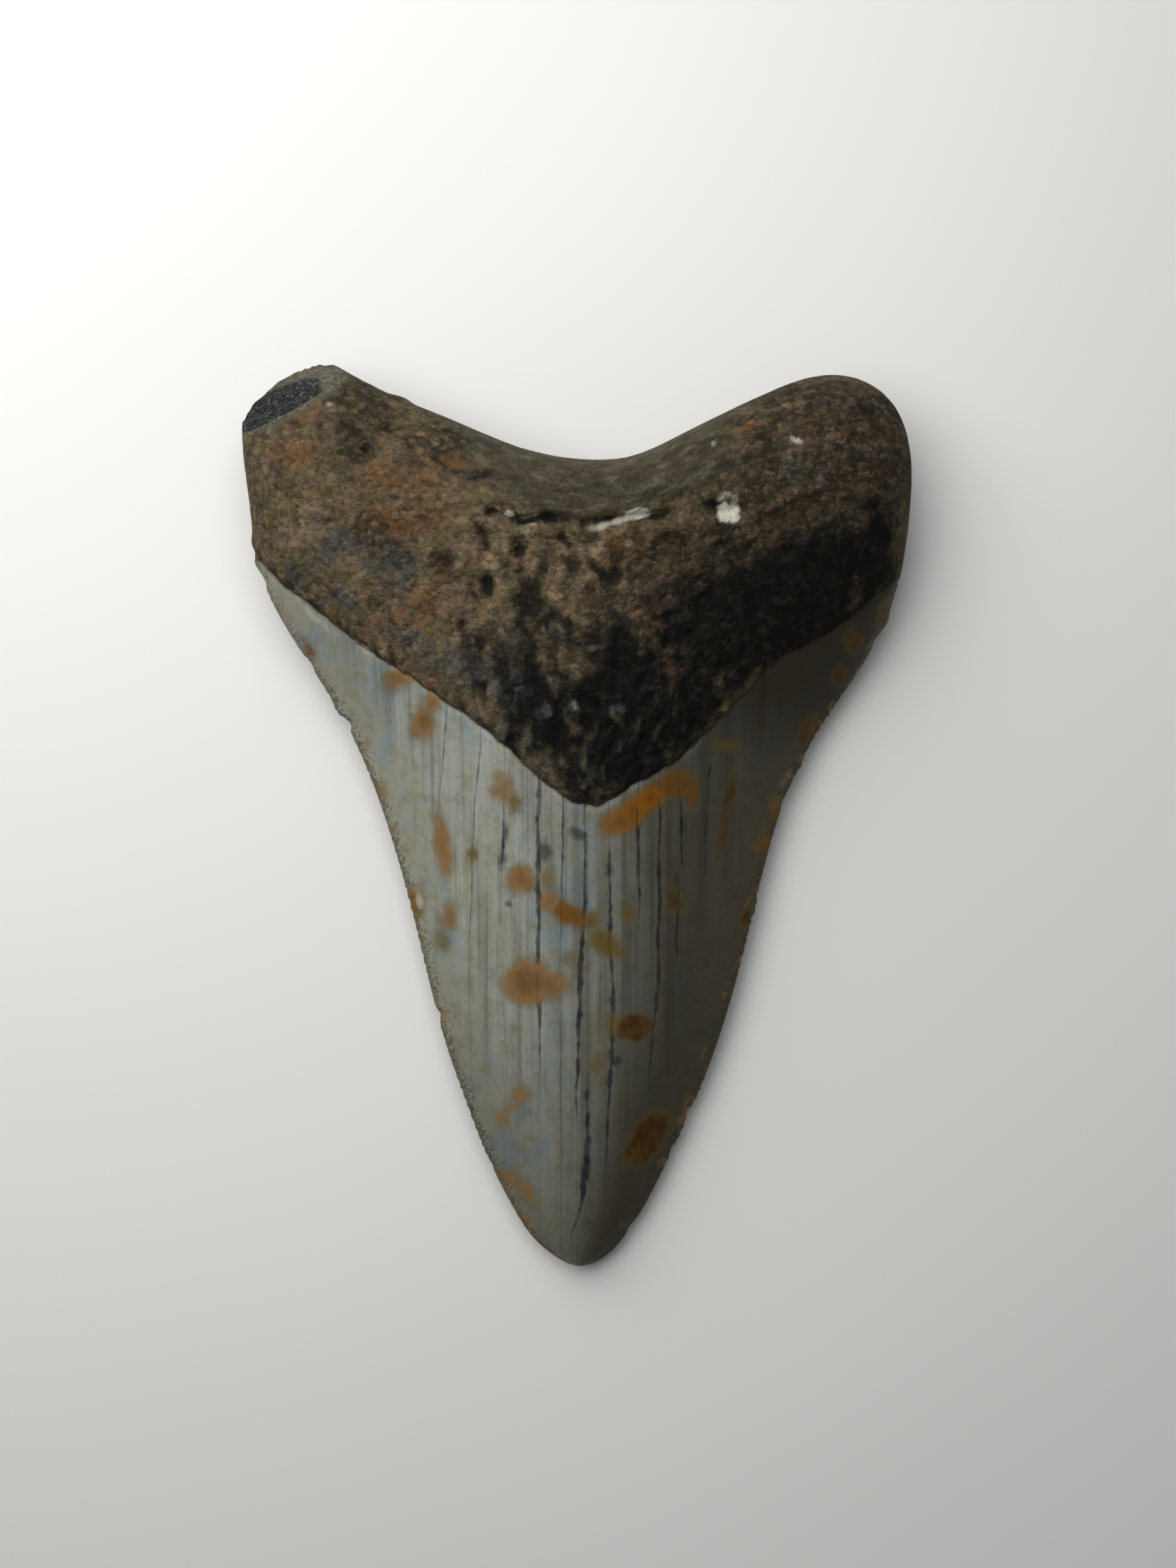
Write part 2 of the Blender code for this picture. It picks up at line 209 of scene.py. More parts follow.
# Patches of the root
PATCHES = {
    "rust_patch": (
        (-35.6, 45.5, 3.2, 2.8, 0), (-22.5, 42.2, 4.6, 2, -10), (-20.4, 37.4, 5, 2, 5), (-14.4, 43.9, 3.9, 0.9, -5),
        (-22.4, 24.2, 4.4, 1.9, 42), (-18.4, 27.6, 2.6, 2.4, 60), (-32.4, 51.4, 3.6, 0.9, 32),
        (-18, 17.4, 2.6, 1.2, -35), (-1.4, 9.4, 0.8, 0.9, 0), (10.9, 18.3, 1.4, 2.8, 10), (20.3, 48, 2.4, 0.6, 12),
        (39.2, 28.9, 0.9, 1.4, 0), (36, 26.9, 1.2, 0.9, 0), (5.6, 33, 2.2, 1.8, 0), (18.5, 14.5, 1.6, 1, 30),
    ),
    "black_patch": (
        (-12.6, 41.6, 1.6, 0.9, -10), (-5.2, 38.2, 3.6, 0.5, 0), (27.5, 30.8, 9, 4.8, 15),
        (30.5, 32.6, 4.6, 2.8, 0), (37.4, 32.6, 4, 5.4, 0), (17.6, 24.2, 8.5, 6, 35), (27, 25, 10, 4.4, 36),
        (4.8, 15.2, 6.5, 7.2, 0), (12.6, 14.2, 5, 4.6, 35), (5, 7, 6.5, 4, 0), (-4.6, 12.6, 3.6, 4.8, 45),
        (17.4, 36.6, 1.4, 0.6, 0), (4.8, 22, 2.4, 3, 0), (20.4, 17.8, 3.2, 1.8, 35),
    ),
    "slate_patch": (
        (-30.4, 34.2, 3.4, 3, 0), (-29, 26, 2.6, 1.6, -35), (-21, 21.8, 3.4, 2.4, -35), (-14, 17.8, 3.8, 2.6, -35),
        (-9.1, 13.6, 1.6, 2.8, 0), (-0.6, 13.8, 0.8, 1.6, 0), (-12.4, 41.8, 1.2, 0.7, 0), (-1.9, 37.6, 1.6, 0.7, 0),
        (29.4, 33.4, 3.5, 2.1, 0), (6.2, 15.8, 1.6, 2.6, 0), (-24, 32, 3, 2.2, 0), (-4.8, 24, 1.2, 2, 0),
        (1.8, 6.8, 1.6, 1.2, 0), (-35, 30.8, 2.2, 1.4, -40), (-22.8, 20.8, 2.6, 1.2, -35),
        (-17.4, 18.2, 2.8, 1.2, -30),
    ),
    "umber_patch": (
        (-15.5, 45.8, 6, 3.4, -22), (-27.5, 50.5, 4.4, 2.6, -25), (-33.6, 54, 4, 1.8, 25), (-28.4, 45.6, 3, 2, 0),
        (30, 46, 15, 11, 10), (14, 42, 8, 3, 8), (-0.5, 41.4, 9, 1.6, 0), (20, 31, 9, 5, 20), (3, 23.8, 9, 2.4, 0),
        (11.4, 30, 4.4, 5, 0), (3.2, 27.4, 1.8, 2, 0), (-7.4, 27, 1, 4.4, 0), (-17.8, 31.4, 2.4, 1.6, 0),
        (-24.6, 36, 3, 2, -30), (-8.6, 19.6, 5, 3, -30),
    ),
    # Pale patches: the bulge's pale mineral, partly painted highlight where its lumps catch the light.
    "pale_patch": (
        (-4.8, 31.6, 2, 3, 0), (0.3, 33.2, 0.9, 1.3, 0), (4.4, 33.8, 1.6, 1.8, 0), (-19.2, 29.8, 1.4, 1.8, 20),
        (-15.8, 37.9, 2.4, 0.9, 0), (-11.8, 32.2, 1.3, 1.6, 0), (-2, 27, 1, 2, 0), (2, 21.1, 1.1, 0.8, 0),
        (-10.4, 24.4, 1.4, 0.9, 0), (-34.5, 36.5, 2.8, 3.4, 0), (-28, 31, 2, 1.4, -40),
    ),
}

# White mineral, each with its strength
CHALK_MARKS = (
    (2.9, 36, 1.3, 0.42, 18, 0.5), (4.9, 36.6, 1.3, 0.48, 22, 0.6), (7.2, 37.4, 1.4, 0.62, 10, 1),
    (18.5, 37.7, 1.25, 1.05, 0, 1), (18, 38.2, 0.9, 0.7, 0, 1), (19.1, 38.2, 0.9, 0.7, 0, 1),
    (18, 37.2, 0.9, 0.7, 0, 1), (19.1, 37.2, 0.9, 0.7, 0, 1), (17.5, 39.5, 0.5, 0.3, 50, 0.4),
    (18.4, 40, 0.7, 0.3, 0, 0.45), (19.3, 39.5, 0.5, 0.3, -50, 0.4), (-0.3, 14, 0.3, 0.6, 20, 0.22),
    (-8.4, 37.6, 0.45, 0.4, 0, 0.7), (-30.9, 51.6, 0.45, 0.32, -20, 0.5), (26.9, 46.9, 0.7, 0.36, -35, 0.8),
    (16.7, 46.4, 0.35, 0.35, 0, 0.4), (6.2, 33.9, 0.5, 0.4, 0, 0.25), (2, 21.1, 1, 0.4, 10, 0.1),
    (-27, 21.6, 1.3, 0.3, -35, 0.35), (-33.1, 25.3, 2.2, 0.34, -42, 0.35), (-20.6, -10.6, 0.5, 1, 10, 0.5),
)

# Cracks down the enamel, each as points (x, y, half width) from the root to the tip
CRACKS = (
    ((-4.9, 4.9, 0.2), (-4.9, -7.4, 0.27), (-5, -21.9, 0.22), (-4.9, -31, 0.05)),
    ((0.9, 2, 0.12), (0.7, -12.8, 0.24), (0.2, -21.8, 0.3), (-0.1, -30.9, 0.24), (-0.1, -38, 0.05)),
    ((1.2, -32.8, 0.05), (1.2, -40.2, 0.26), (0.9, -45, 0.35), (0.6, -48.6, 0.2), (-1, -54, 0.05)),
    ((3.9, -4.4, 0.15), (4.2, -17.3, 0.26), (4.4, -24.6, 0.28), (4, -32.8, 0.24), (3.5, -45, 0.04)),
    ((7.5, 0.4, 0.14), (7.6, -6, 0.18), (7.6, -13.6, 0.03)),
    ((10.2, 1.6, 0.14), (10.2, -12.9, 0.21), (10.1, -22, 0.21), (9.4, -29.4, 0.17), (9.1, -35, 0.04)),
    ((12.8, 3.2, 0.12), (13, -2, 0.18), (13.2, -6.4, 0.04)),
    ((12.7, -8.6, 0.04), (12.6, -12.5, 0.18), (12.6, -18.5, 0.04)),
    ((16.7, 7.4, 0.1), (16.3, 0, 0.13), (16, -8.4, 0.03)),
    ((-9.2, 1.2, 0.1), (-9.4, -3, 0.2), (-9.6, -7.4, 0.04)),
    ((-1.8, 2.3, 0.12), (-2, -6, 0.13), (-2.2, -15.6, 0.03)),
    ((-12.2, 9.4, 0.06), (-13.4, -4, 0.07), (-13.9, -20, 0.03)),
    ((-16.4, 12.6, 0.07), (-17.8, 2, 0.05), (-18.4, -6, 0.02)),
)
CRACK_SPAN_X = (-20.0, 20.0)
CRACK_SPAN_Y = (-60.0, 20.0)
WIDEST_CRACK = 0.5
CRACK_RIM = (-0.17, 0.13)  # a crack darkens between these depths inside its half width
CRACK_BEND = 0.7  # how far a crack wavers sideways
UNDER_CRACKS = (-0.86, 1.9)  # x of the cracks on the lower face: times this, plus that
BEADS_TO_WIDTH = (0.36, 0.66, 0.3, 0.95)  # from this span of the beads to this share of the width
MOTTLE_TO_CRACK = (0.36, 0.6, 0.62, 0.94)  # and of the mottling to this strength
CRACK_SHARE = 0.86  # of those half widths
CRACK_FADE = 0.06  # how much narrower a crack is drawn, so that its thin ends fade away
CRACK_END = 0.012  # how soon a crack's width falls to nothing past its ends, as a share of the span along y

# ---------------------------------------------------------------- the stage

CAMERA_OVER = (1.22, 4.45)  # the place on the floor that the camera looks straight down at
KEY_DIRECTION = (-0.37, 0.53, 0.77)
ROOM_COLOUR = "e9ecef"
CAMERA_CLIP = (0.01, 20.0)
FLOOR_POINTS = 9  # along each side
LACQUER_ROUGHNESS = 0.55
LACQUER_CLOUDS, LACQUER_DETAIL = 9.0, 2.0  # to the metre
LACQUER_TONES = (0.97, 1.03)


def linear(code):
    """The linear colour, with full opacity, of an sRGB hex colour such as 8f9594."""
    shares = [int(code[i : i + 2], 16) / 255.0 for i in (0, 2, 4)]
    return tuple(s / 12.92 if s <= 0.04045 else ((s + 0.055) / 1.055) ** 2.4 for s in shares) + (1.0,)


def colour(name, description, code):
    return FloatVectorProperty(
        name=name, description=description, subtype="COLOR", size=4, min=0.0, max=1.0, default=linear(code)
    )


def length(name, description, default):
    return FloatProperty(
        name=name, description=description, unit="LENGTH", precision=5, min=0.0, default=default * MM
    )


class ToothShape(bpy.types.PropertyGroup):
    columns: IntProperty(
        name="Columns", description="Cells from edge to edge, an even number", min=20, max=200, default=196
    )
    rows: IntProperty(name="Rows", description="Cells from tip to root, an even number", min=20, max=400, default=400)
    enamel_step: length("Enamel step", "How far the enamel stands above the bare root at its line", 0.06)
    enamel_groove: length("Enamel groove", "Depth of the groove that follows the enamel's line", 0.12)
    serration: length("Serration", "Depth of the worn saw teeth on the cutting edges", 0.26)
    serration_pitch: length("Serration pitch", "Distance between the worn saw teeth", 1.35)
    root_lumps: length("Root lumps", "Height of the root's broad lumps", 0.34)
    root_knobs: length("Root knobs", "Height of the root's coarse grain, a few millimetres across", 0.56)
    root_grain: length("Root grain", "Height of the root's fine grain", 0.10)
    furrow: length("Furrows", "Depth of the upright furrows in the root's bulge", 0.34)
    basal_groove: length("Basal groove", "Depth of the groove along the root's notch", 0.75)


class ToothColours(bpy.types.PropertyGroup):
    enamel: colour("Enamel", "Grey enamel along the middle of the crown", "98988d")
    enamel_side: colour("Enamel side", "Greenish enamel towards the cutting edges", "8f8f7f")
    enamel_dark: colour("Dark enamel", "Smoky streaks and clouds of the enamel", "5d5f55")
    enamel_pale: colour("Pale enamel", "Fine pale lines down the enamel", "a1a4a0")
    # Smoky enamel: the enamel's own smoky tone near the tip; on the right flank also painted shade, darker where that
    # flank turns away from the light.
    smoky_enamel_and_shade: colour("Smoky enamel and painted shade", "Brown-black enamel on the right flank and near the tip", "352f1f")
    enamel_green: colour("Green enamel", "Olive tinge of the enamel", "858469")
    enamel_blue: colour("Blue enamel", "Blue-grey clouds in the enamel", "7f8e91")
    crack: colour("Cracks", "Ink-blue stain in the cracks", "202328")
    cutting_edge: colour("Cutting edge", "Worn, stained edge of the blade", "4a4435")
    tan_stain: colour("Tan stain", "Iron stain that has faded to tan", "84643f")
    orange_stain: colour("Orange stain", "Rust-orange iron stain", "704814")
    amber_stain: colour("Amber stain", "Bright iron stain by the root", "87530c")
    brown_stain: colour("Brown stain", "Old, dark iron stain", "452605")
    olive_stain: colour("Olive stain", "Yellow-green mineral stain", "625224")
    root: colour("Root", "Brown mineralised root", "62563f")
    # Dark root: also the paint of the painted shade in the enamel line's groove and on the smoky shoulder.
    root_dark: colour("Dark root", "The root's dark ground", "292116")
    # Pale grains: also the painted highlight on the tops of the root's lumps.
    root_pale: colour("Pale grains", "Pale grains in the root", "968568")
    # Pale patches: pale pink-brown mineral, partly painted highlight on the bulge's lumps.
    root_tan: colour("Pale patches", "Pale pink-brown patches on the bulge", "8b755b")
    root_pink: colour("Pink-brown root", "Clouds of pink-brown in the root", "77604d")
    root_olive: colour("Olive root", "Clouds of olive in the root", "565331")
    umber: colour("Umber", "Dark olive-brown patches on the root", "1d1a11")
    rust: colour("Rust", "Rust patches on the root", "6e4b2b")
    upright_pale: colour("Upright ridges", "Olive-grey ridges of the root near the enamel", "636050")
    # Painted glints: pale blue speckles of reflected light on the black root by the enamel.
    painted_blue_glint: colour("Painted blue glints", "Painted blue-grey glints among the black", "4a4f55")
    # Black: the root's black mineral, and also the dirt and painted shade in its crevices.
    black: colour("Black", "Black mineral on the root", "080908")
    slate: colour("Slate", "Blue-grey patches on the root", "3f4443")
    basal_face: colour("Basal face", "Smooth olive-brown face by the notch", "3e3a2b")
    break_face: colour("Break", "Blue-black stone in the broken lobe", "272c2b")
    # The break's pale blue-grey crystals, painted partly as their glints.
    break_glint: colour("Break's crystals and glints", "Pale blue-grey crystals and their painted glints in the broken lobe", "727876")
    break_rim: colour("Break's rim", "Smooth olive-grey rim beside the break", "55564b")
    edge_fleck: colour("Edge flecks", "Pale chips along the cutting edges", "a39c8a")
    chalk: colour("Chalk", "White mineral caught in the pits", "c4bfb0")


class StageSettings(bpy.types.PropertyGroup):
    floor: colour("Floor", "Plain pale table", "eae9e5")
    floor_size: FloatProperty(name="Floor size", description="Side of the floor", unit="LENGTH", default=6.0)
    key_power: FloatProperty(name="Key light", description="Power of the window light", unit="POWER", default=0.87)
    key_size: FloatProperty(name="Key size", description="Side of the window light", unit="LENGTH", default=0.33)
    key_distance: FloatProperty(
        name="Key distance", description="From the tooth to the window light", unit="LENGTH", default=0.25
    )
    fill: FloatProperty(name="Fill", description="Strength of the room's own light", min=0.0, default=0.21)
    camera_height: FloatProperty(
        name="Camera height", description="From the floor to the camera", unit="LENGTH", default=0.300
    )
    lens: FloatProperty(
        name="Lens", description="Focal length of the camera", subtype="DISTANCE_CAMERA", default=52.43
    )


# ---------------------------------------------------------------- curves and fields


def spline_slopes(knots, values, start, end):
    """Slopes at the knots of the cubic spline through the values, with the slopes at both ends given."""
    gaps = np.diff(knots)
    system = np.diag(np.append(np.append(1.0, 2.0 * (gaps[:-1] + gaps[1:])), 1.0))
    system[range(1, len(gaps)), range(len(gaps) - 1)] = gaps[1:]
    system[range(1, len(gaps)), range(2, len(gaps) + 1)] = gaps[:-1]
    rises = np.diff(values, axis=0) / gaps[:, None]
    inner = 3.0 * (gaps[1:, None] * rises[:-1] + gaps[:-1, None] * rises[1:])
    ends = [np.broadcast_to(slope, values[:1].shape) for slope in (start, end)]
    return np.linalg.solve(system, np.concatenate([ends[0], inner, ends[1]]))


def spline(knots, values, slopes, at):
    """The cubic spline's values at the given places."""
    piece = np.clip(np.searchsorted(knots, at, side="right") - 1, 0, len(knots) - 2)
    gap = (knots[piece + 1] - knots[piece])[:, None]
    t = (at[:, None] - knots[piece][:, None]) / gap
    before, after = values[piece], values[piece + 1]
    rise = after - before
    bend_before = slopes[piece] * gap - rise
    bend_after = rise - slopes[piece + 1] * gap
    return before + t * rise + t * (1.0 - t) * ((1.0 - t) * bend_before + t * bend_after)


def curve_through(points, start, end, fractions):
    """Points at these fractions of the length of the smooth curve through the given points."""
    points = np.array(points)
    knots = np.append(0.0, np.cumsum(np.linalg.norm(np.diff(points, axis=0), axis=1)))
    slopes = spline_slopes(knots, points, start, end)
    fine = spline(knots, points, slopes, np.linspace(0.0, knots[-1], FINE_SAMPLES))
    length_so_far = np.append(0.0, np.cumsum(np.linalg.norm(np.diff(fine, axis=0), axis=1)))
    wanted = fractions * length_so_far[-1]
    return np.stack([np.interp(wanted, length_so_far, fine[:, axis]) for axis in (0, 1)], axis=1)


def smooth_value(pairs, at):
    """The smooth function through (place, value) pairs, level beyond both ends."""
    pairs = np.array(pairs)
    knots, values = pairs[:, 0], pairs[:, 1:]
    slopes = spline_slopes(knots, values, 0.0, 0.0)
    clipped = np.clip(at, knots[0], knots[-1])
    return spline(knots, values, slopes, clipped.ravel())[:, 0].reshape(at.shape)


def smoothstep(low, high, value):
    """0 below low and 1 above high, with a smooth rise between."""
    t = np.clip((value - low) / (high - low), 0.0, 1.0)
    return t * t * (3.0 - 2.0 * t)


def rounded(distance, radius):
    """The height of a quarter circle at a distance in from its foot, as a share of its radius."""
    inward = np.clip(distance / radius, 0.0, 1.0)
    return np.sqrt(1.0 - (1.0 - inward) ** 2)


def bell(value):
    """1 at zero, falling smoothly to nothing at a few units: the exponential of minus the square."""
    return np.exp(-(value**2))


def eased(count, easing):
    """count + 1 fractions from 0 to 1, closer together at both ends by the share of a cosine that is mixed in."""
    even = np.linspace(0.0, 1.0, count + 1)
    return (1.0 - easing) * even + easing * 0.5 * (1.0 - np.cos(np.pi * even))


def clouds(points, size, seed):
    """A soft random field from -1 to 1 with features of about this size: random values on a lattice, joined
    along each axis by smoothsteps."""
    at = points @ np.array(LATTICE_TURN) / size + seed * LATTICE_SHIFT
    cell = np.floor(at).astype(int)
    blend = smoothstep(0.0, 1.0, at - cell)
    cell -= cell.min(axis=0)
    lattice = np.random.default_rng(seed).uniform(-1.0, 1.0, tuple(cell.max(axis=0) + 2))
    field = np.zeros(len(points))
    for corner in itertools.product((0, 1), repeat=3):
        share = np.where(corner, blend, 1.0 - blend).prod(axis=1)
        field += share * lattice[tuple((cell + corner).T)]
    return field


def billows(points, size, seed):
    """Rounded swellings with sharp creases between them, around 0: the size of a soft random field, unsigned."""
    return 2.0 * np.abs(clouds(points, size, seed)) - BILLOW_MIDDLE


def distance_to(line, x, y):
    """How far each place is from a line of straight pieces."""
    nearest = np.full(x.shape, np.inf)
    for (ax, ay), (bx, by) in itertools.pairwise(line):
        along = ((x - ax) * (bx - ax) + (y - ay) * (by - ay)) / ((bx - ax) ** 2 + (by - ay) ** 2)
        along = np.clip(along, 0.0, 1.0)
        nearest = np.minimum(nearest, np.hypot(x - ax - along * (bx - ax), y - ay - along * (by - ay)))
    return nearest


def above(line, x, y):
    """How far each place is above a line, negative below it."""
    xs, ys = np.array(line).T
    return np.where(y > np.interp(x, xs, ys), 1.0, -1.0) * distance_to(line, x, y)


def spot_radius(spot, x, y):
    """Each place's distance from a spot's middle, where the spot's own rim is at 1."""
    middle_x, middle_y, half_width, half_height, turn = spot[:5]
    c, s = math.cos(math.radians(turn)), math.sin(math.radians(turn))
    across, up = x - middle_x, y - middle_y
    return np.hypot((c * across + s * up) / half_width, (c * up - s * across) / half_height)


def nearest_spots(spots, x, y):
    """The distance inside the rim of the nearest spot, negative outside it, and what else its row holds."""
    inside = np.stack([(1.0 - spot_radius(spot, x, y)) * min(spot[2:4]) for spot in spots])
    rest = np.array([spot[5:] for spot in spots], float)[inside.argmax(axis=0)]
    return np.clip(inside.max(axis=0), -FAR, FAR), *rest.T


def patches(spots, x, y):
    """A field that is 1 in the middle of each patch, about 0.4 at its rim, and fades to nothing."""
    return np.max([bell(spot_radius(spot, x, y)) for spot in spots], axis=0)


def wandered(points, amount, size, seed):
    """x and y of points, each moved by up to this amount by a soft random field, so that marks get ragged rims."""
    x, y = points[:, 0], points[:, 1]
    return x + amount * clouds(points, size, seed), y + amount * clouds(points, size, seed + 1)


# ---------------------------------------------------------------- relief, in millimetres

EDGE_LENGTHS = (130, 127)  # about how long the left and the right cutting edge are
TEETH_BEGIN, TEETH_END = (3, 9), (29, 33)  # where the saw teeth rise, from the tip, and where they fade, in y
TEETH_SHARES = (0.7, 0.3)  # of the even teeth, and of finer ones that break them up
FINER_TEETH = 2.1  # finer ones to each even one
# Sines along an edge, as (size, radians to the millimetre, radians at the tip)
TEETH_WANDER = ((1.3, 0.31, 0), (0.9, 0.83, 1))
TEETH_WEAR = ((0.35, 0.23, 2), (0.2, 0.71, 0))
MEAN_WEAR = 0.45
MARK_SPREAD = 1.3  # a nick's or bump's reach, in its half lengths
BASAL_MARKS_FROM = 50  # those with a greater y are on the basal edge
SIDE_FADE, BASAL_FADE = 0.55, 1.2  # how soon they fade inwards

MIDDLE = 2  # x of the bulge's and the notch's middle
# Below, a pair is where a smooth rise begins and ends, or the least and the most
BARE_EDGE = (-0.35, 0.35)  # past the enamel's line
NOTCH_FACE_FROM, NOTCH_FACE_TO, NOTCH_FACE_CALM = (0, 1.5), (18, 30), 0.8
RIDGED_BAND = (4, 11)  # from the enamel's line
CALM_RIM, CALM_RIM_WIDTH = 0.25, 5
KNOBBY_WIDTH, KNOBBY_FROM, LEAST_KNOBBY = 17, (2, 12), 0.25
KNOBS_LOST = 0.3  # near the enamel
PIT_POWER = 1.5
LIP_HEIGHT, LIP_BELOW, LIP_WIDTH, LIP_REACH = 0.35, 1.5, 0.9, 3
GROOVE_WIDTH, GROOVE_MEAN, GROOVE_DEPTHS = 0.5, 0.55, (0.05, 1)
GROOVE_LOST, GROOVE_FADES = 0.7, (18.5, 22)
FURROW_WIDTH, FURROW_MEAN, FURROW_DEPTHS = 0.4, 0.6, (0.1, 1.2)
STEP_RISES, STEP_SINKS = (-0.15, 0.35), (6, 14)
LINE_WIDTH = 0.42
FLUTES_FROM_RIM = 2.5
UPRIGHT_LEFT, UPRIGHT_WIDTH, UPRIGHT_FROM = 1, 14, (-15, -4)
# How far pits, the groove and furrows, and a strip just under the enamel's line, sink the crevice field, which the
# finish paints dark as dirt and painted shade.
DIRT_AND_SHADE_IN_CUTS = (0.5, 0.46, 1.2)  # how much dirt pits, the groove and furrows hold
DIRT_AND_SHADE_UNDER_LINE, DIRT_AND_SHADE_LINE_BELOW, DIRT_AND_SHADE_LINE_WIDTH = 0.16, 0.3, 0.5

# Random fields, as (kind, share, stretch along x, y and z, size of a feature, seed)
EVEN, KNOB, STREAK, RIDGE, FLUTE = (1, 1, 1), (1, 0.7, 0.85), (1, 0.4, 1), (1, 0.24, 1), (1, 0.08, 1)
LUMPS = ((clouds, 0.65, EVEN, 9, 11), (clouds, 0.35, EVEN, 5, 12))
KNOBS = ((billows, 0.8, KNOB, 2.9, 13), (billows, 0.55, KNOB, 1.6, 24), (clouds, 0.35, KNOB, 2.2, 28))
GRAIN = ((clouds, 1, EVEN, 1.2, 14), (clouds, 0.6, EVEN, 0.8, 15))
RIDGES = ((billows, 0.18, RIDGE, 1.3, 16), (clouds, 0.1, STREAK, 0.7, 17))
FLUTES = ((clouds, 0.07, FLUTE, 3.4, 19), (clouds, 0.05, EVEN, 7, 20))
GROOVE_DEPTH, GROOVE_STRAY = ((clouds, 1.1, EVEN, 2.6, 18),), ((clouds, 0.3, EVEN, 1.6, 25),)
FURROW_DEPTH, FURROW_STRAY = ((clouds, 0.9, EVEN, 2.2, 27),), ((clouds, 0.2, EVEN, 1.5, 26),)
BROKEN_STONE = ((clouds, 0.16, EVEN, 1.1, 21), (clouds, 0.12, EVEN, 0.7, 22), (clouds, 0.15, EVEN, 3, 23))
BROKEN_DOWN, BROKEN_EDGE = 0.1, (-0.1, 0.5)  # how far below the plane the stone lies, and where it starts

# How the rims of marks stray, as (how far, size of a feature, seed)
SPOT_WANDER, CHALK_WANDER = (0.45, 1.9, 51), (0.15, 0.9, 53)
PATCH_WANDER, PATCH_FRAY = (2.2, 5.5, 61), (0.9, 2, 71)
FAR = 3  # distances from a mark's rim and from the break's crest are told up to this
FIRST_PATCH_SEED = 31
UNDER_PATCH_MEAN, UNDER_PATCH_SHARE, UNDER_PATCH_STRETCH, UNDER_PATCH_SIZE = 0.35, 0.5, (1, 1, 1.5), 7
# The lower face is coloured as a place on the left flank, so the right flank's smoky tone and painted shade stay off
# it.
UNDER_SIDE = -0.4  # the flank that the lower face is coloured as, so that it isn't smoky
BASAL_REACH, BASAL_LOBES, BASAL_FADES = 5, 7, (5, 24)  # the notch's face ends before the lobes
MAP_MIDDLES, MAP_GAP = 60, 2  # between the middles of both sheets on the map, and round them
EASING = (0.45, 0.3)  # how much closer together columns and rows lie at their ends
LEAST_LIFT = 1  # only what lies lower than this is lifted off the floor

# ---------------------------------------------------------------- the tooth's surface


def plan_grid(across, along):
    """x and y of the grid: a Coons patch on the two cutting edges and the basal edge. Row 0 is the tip, where
    the cutting edges meet, so that whole row is one point."""
    tip = np.array(TIP_DIRECTION)
    left = curve_through(LEFT_EDGE, -tip, LEFT_LOBE_DIRECTION, along)[:, None]
    right = curve_through(RIGHT_EDGE, tip, RIGHT_LOBE_DIRECTION, along)[:, None]
    basal = curve_through(BASAL_EDGE, LEFT_LOBE_DIRECTION, -np.array(RIGHT_LOBE_DIRECTION), across)[None]
    u = across[None, :, None]
    v = along[:, None, None]
    chord = (1.0 - u) * basal[:, :1] + u * basal[:, -1:]
    plan = (1.0 - u) * left + u * right + v * (basal - chord)
    return plan[..., 0], plan[..., 1]


def lingual_height(x, y, side, to_side, to_basal, level):
    """The upper sheet. The crown's crest rises with the distance from the tip and falls to both edges as a
    mix of a power curve and a bell. The root is a plateau with a wide bulge in its middle and edges rounded
    as quarter circles. A smoothstep along the tooth leads from one to the other."""
    from_tip = y - LEFT_EDGE[0][1]
    crest = (CREST_AT_TIP + CREST_SLOPE * from_tip) * rounded(from_tip, TIP_ROUNDING)
    arch = 1.0 - np.abs(side) ** CROWN_POWER
    crown = crest * ((1.0 - BLADE_FLATNESS) * arch + BLADE_FLATNESS * np.cos(0.5 * np.pi * side) ** 2)
    middle = bell((x - BULGE_MIDDLE) / BULGE_WIDTH)
    basal_radius = LOBE_BASAL_ROUNDING + (NOTCH_BASAL_ROUNDING - LOBE_BASAL_ROUNDING) * middle
    root = (LOBE_RELIEF + BULGE_RELIEF * middle) * rounded(to_side, SIDE_ROUNDING)
    root = root * rounded(to_basal, basal_radius)
    share = smoothstep(ROOT_STARTS_AT, ROOT_FULL_AT, y)
    return level + (1.0 - share) * crown + share * root


def labial_height(x, y, side, to_side, to_basal, level):
    """The lower sheet: nearly flat, a power curve up to the crown's edges, quarter circles up to the root's,
    and a rise under both lobes that grows with the power 1.5 of the distance out."""
    from_tip = y - LEFT_EDGE[0][1]
    crown = (1.0 - np.abs(side) ** LABIAL_EDGE_POWER) * rounded(from_tip, LABIAL_TIP_ROUNDING)
    root = rounded(to_side, LABIAL_ROUNDING) * rounded(to_basal, LABIAL_ROUNDING)
    share = smoothstep(ROOT_STARTS_AT, ROOT_FULL_AT, y)
    inside = (1.0 - share) * crown + share * root
    outward = np.clip((np.abs(x) - LOBE_LIFT_STARTS_AT) / LOBE_LIFT_LENGTH, 0.0, None)
    floor = share * LOBE_LIFT * outward**LOBE_LIFT_POWER - LABIAL_BULGE_BELOW
    return (1.0 - inside) * level + inside * floor


def as_vertices(upper, lower):
    """One value per vertex: the tip, the rest of the upper sheet by rows, then the lower sheet's own vertices,
    which are every second one inside its rim."""
    own = lower[2:-1:2, 2:-1:2]
    return np.concatenate(
        [upper[:1, 0], upper[1:].reshape(-1, *upper.shape[2:]), own.reshape(-1, *own.shape[2:])]
    )


def fine_faces(index):
    """The upper sheet's faces: a fan round the tip and four-sided cells, anticlockwise from above."""
    corners = [index[1:-1, :-1], index[1:-1, 1:], index[2:, 1:], index[2:, :-1]]
    fan = [np.full(index.shape[1] - 1, index[0, 0]), index[1, 1:], index[1, :-1]]
    return [np.stack([part.ravel() for part in parts], axis=1) for parts in (corners, fan)]


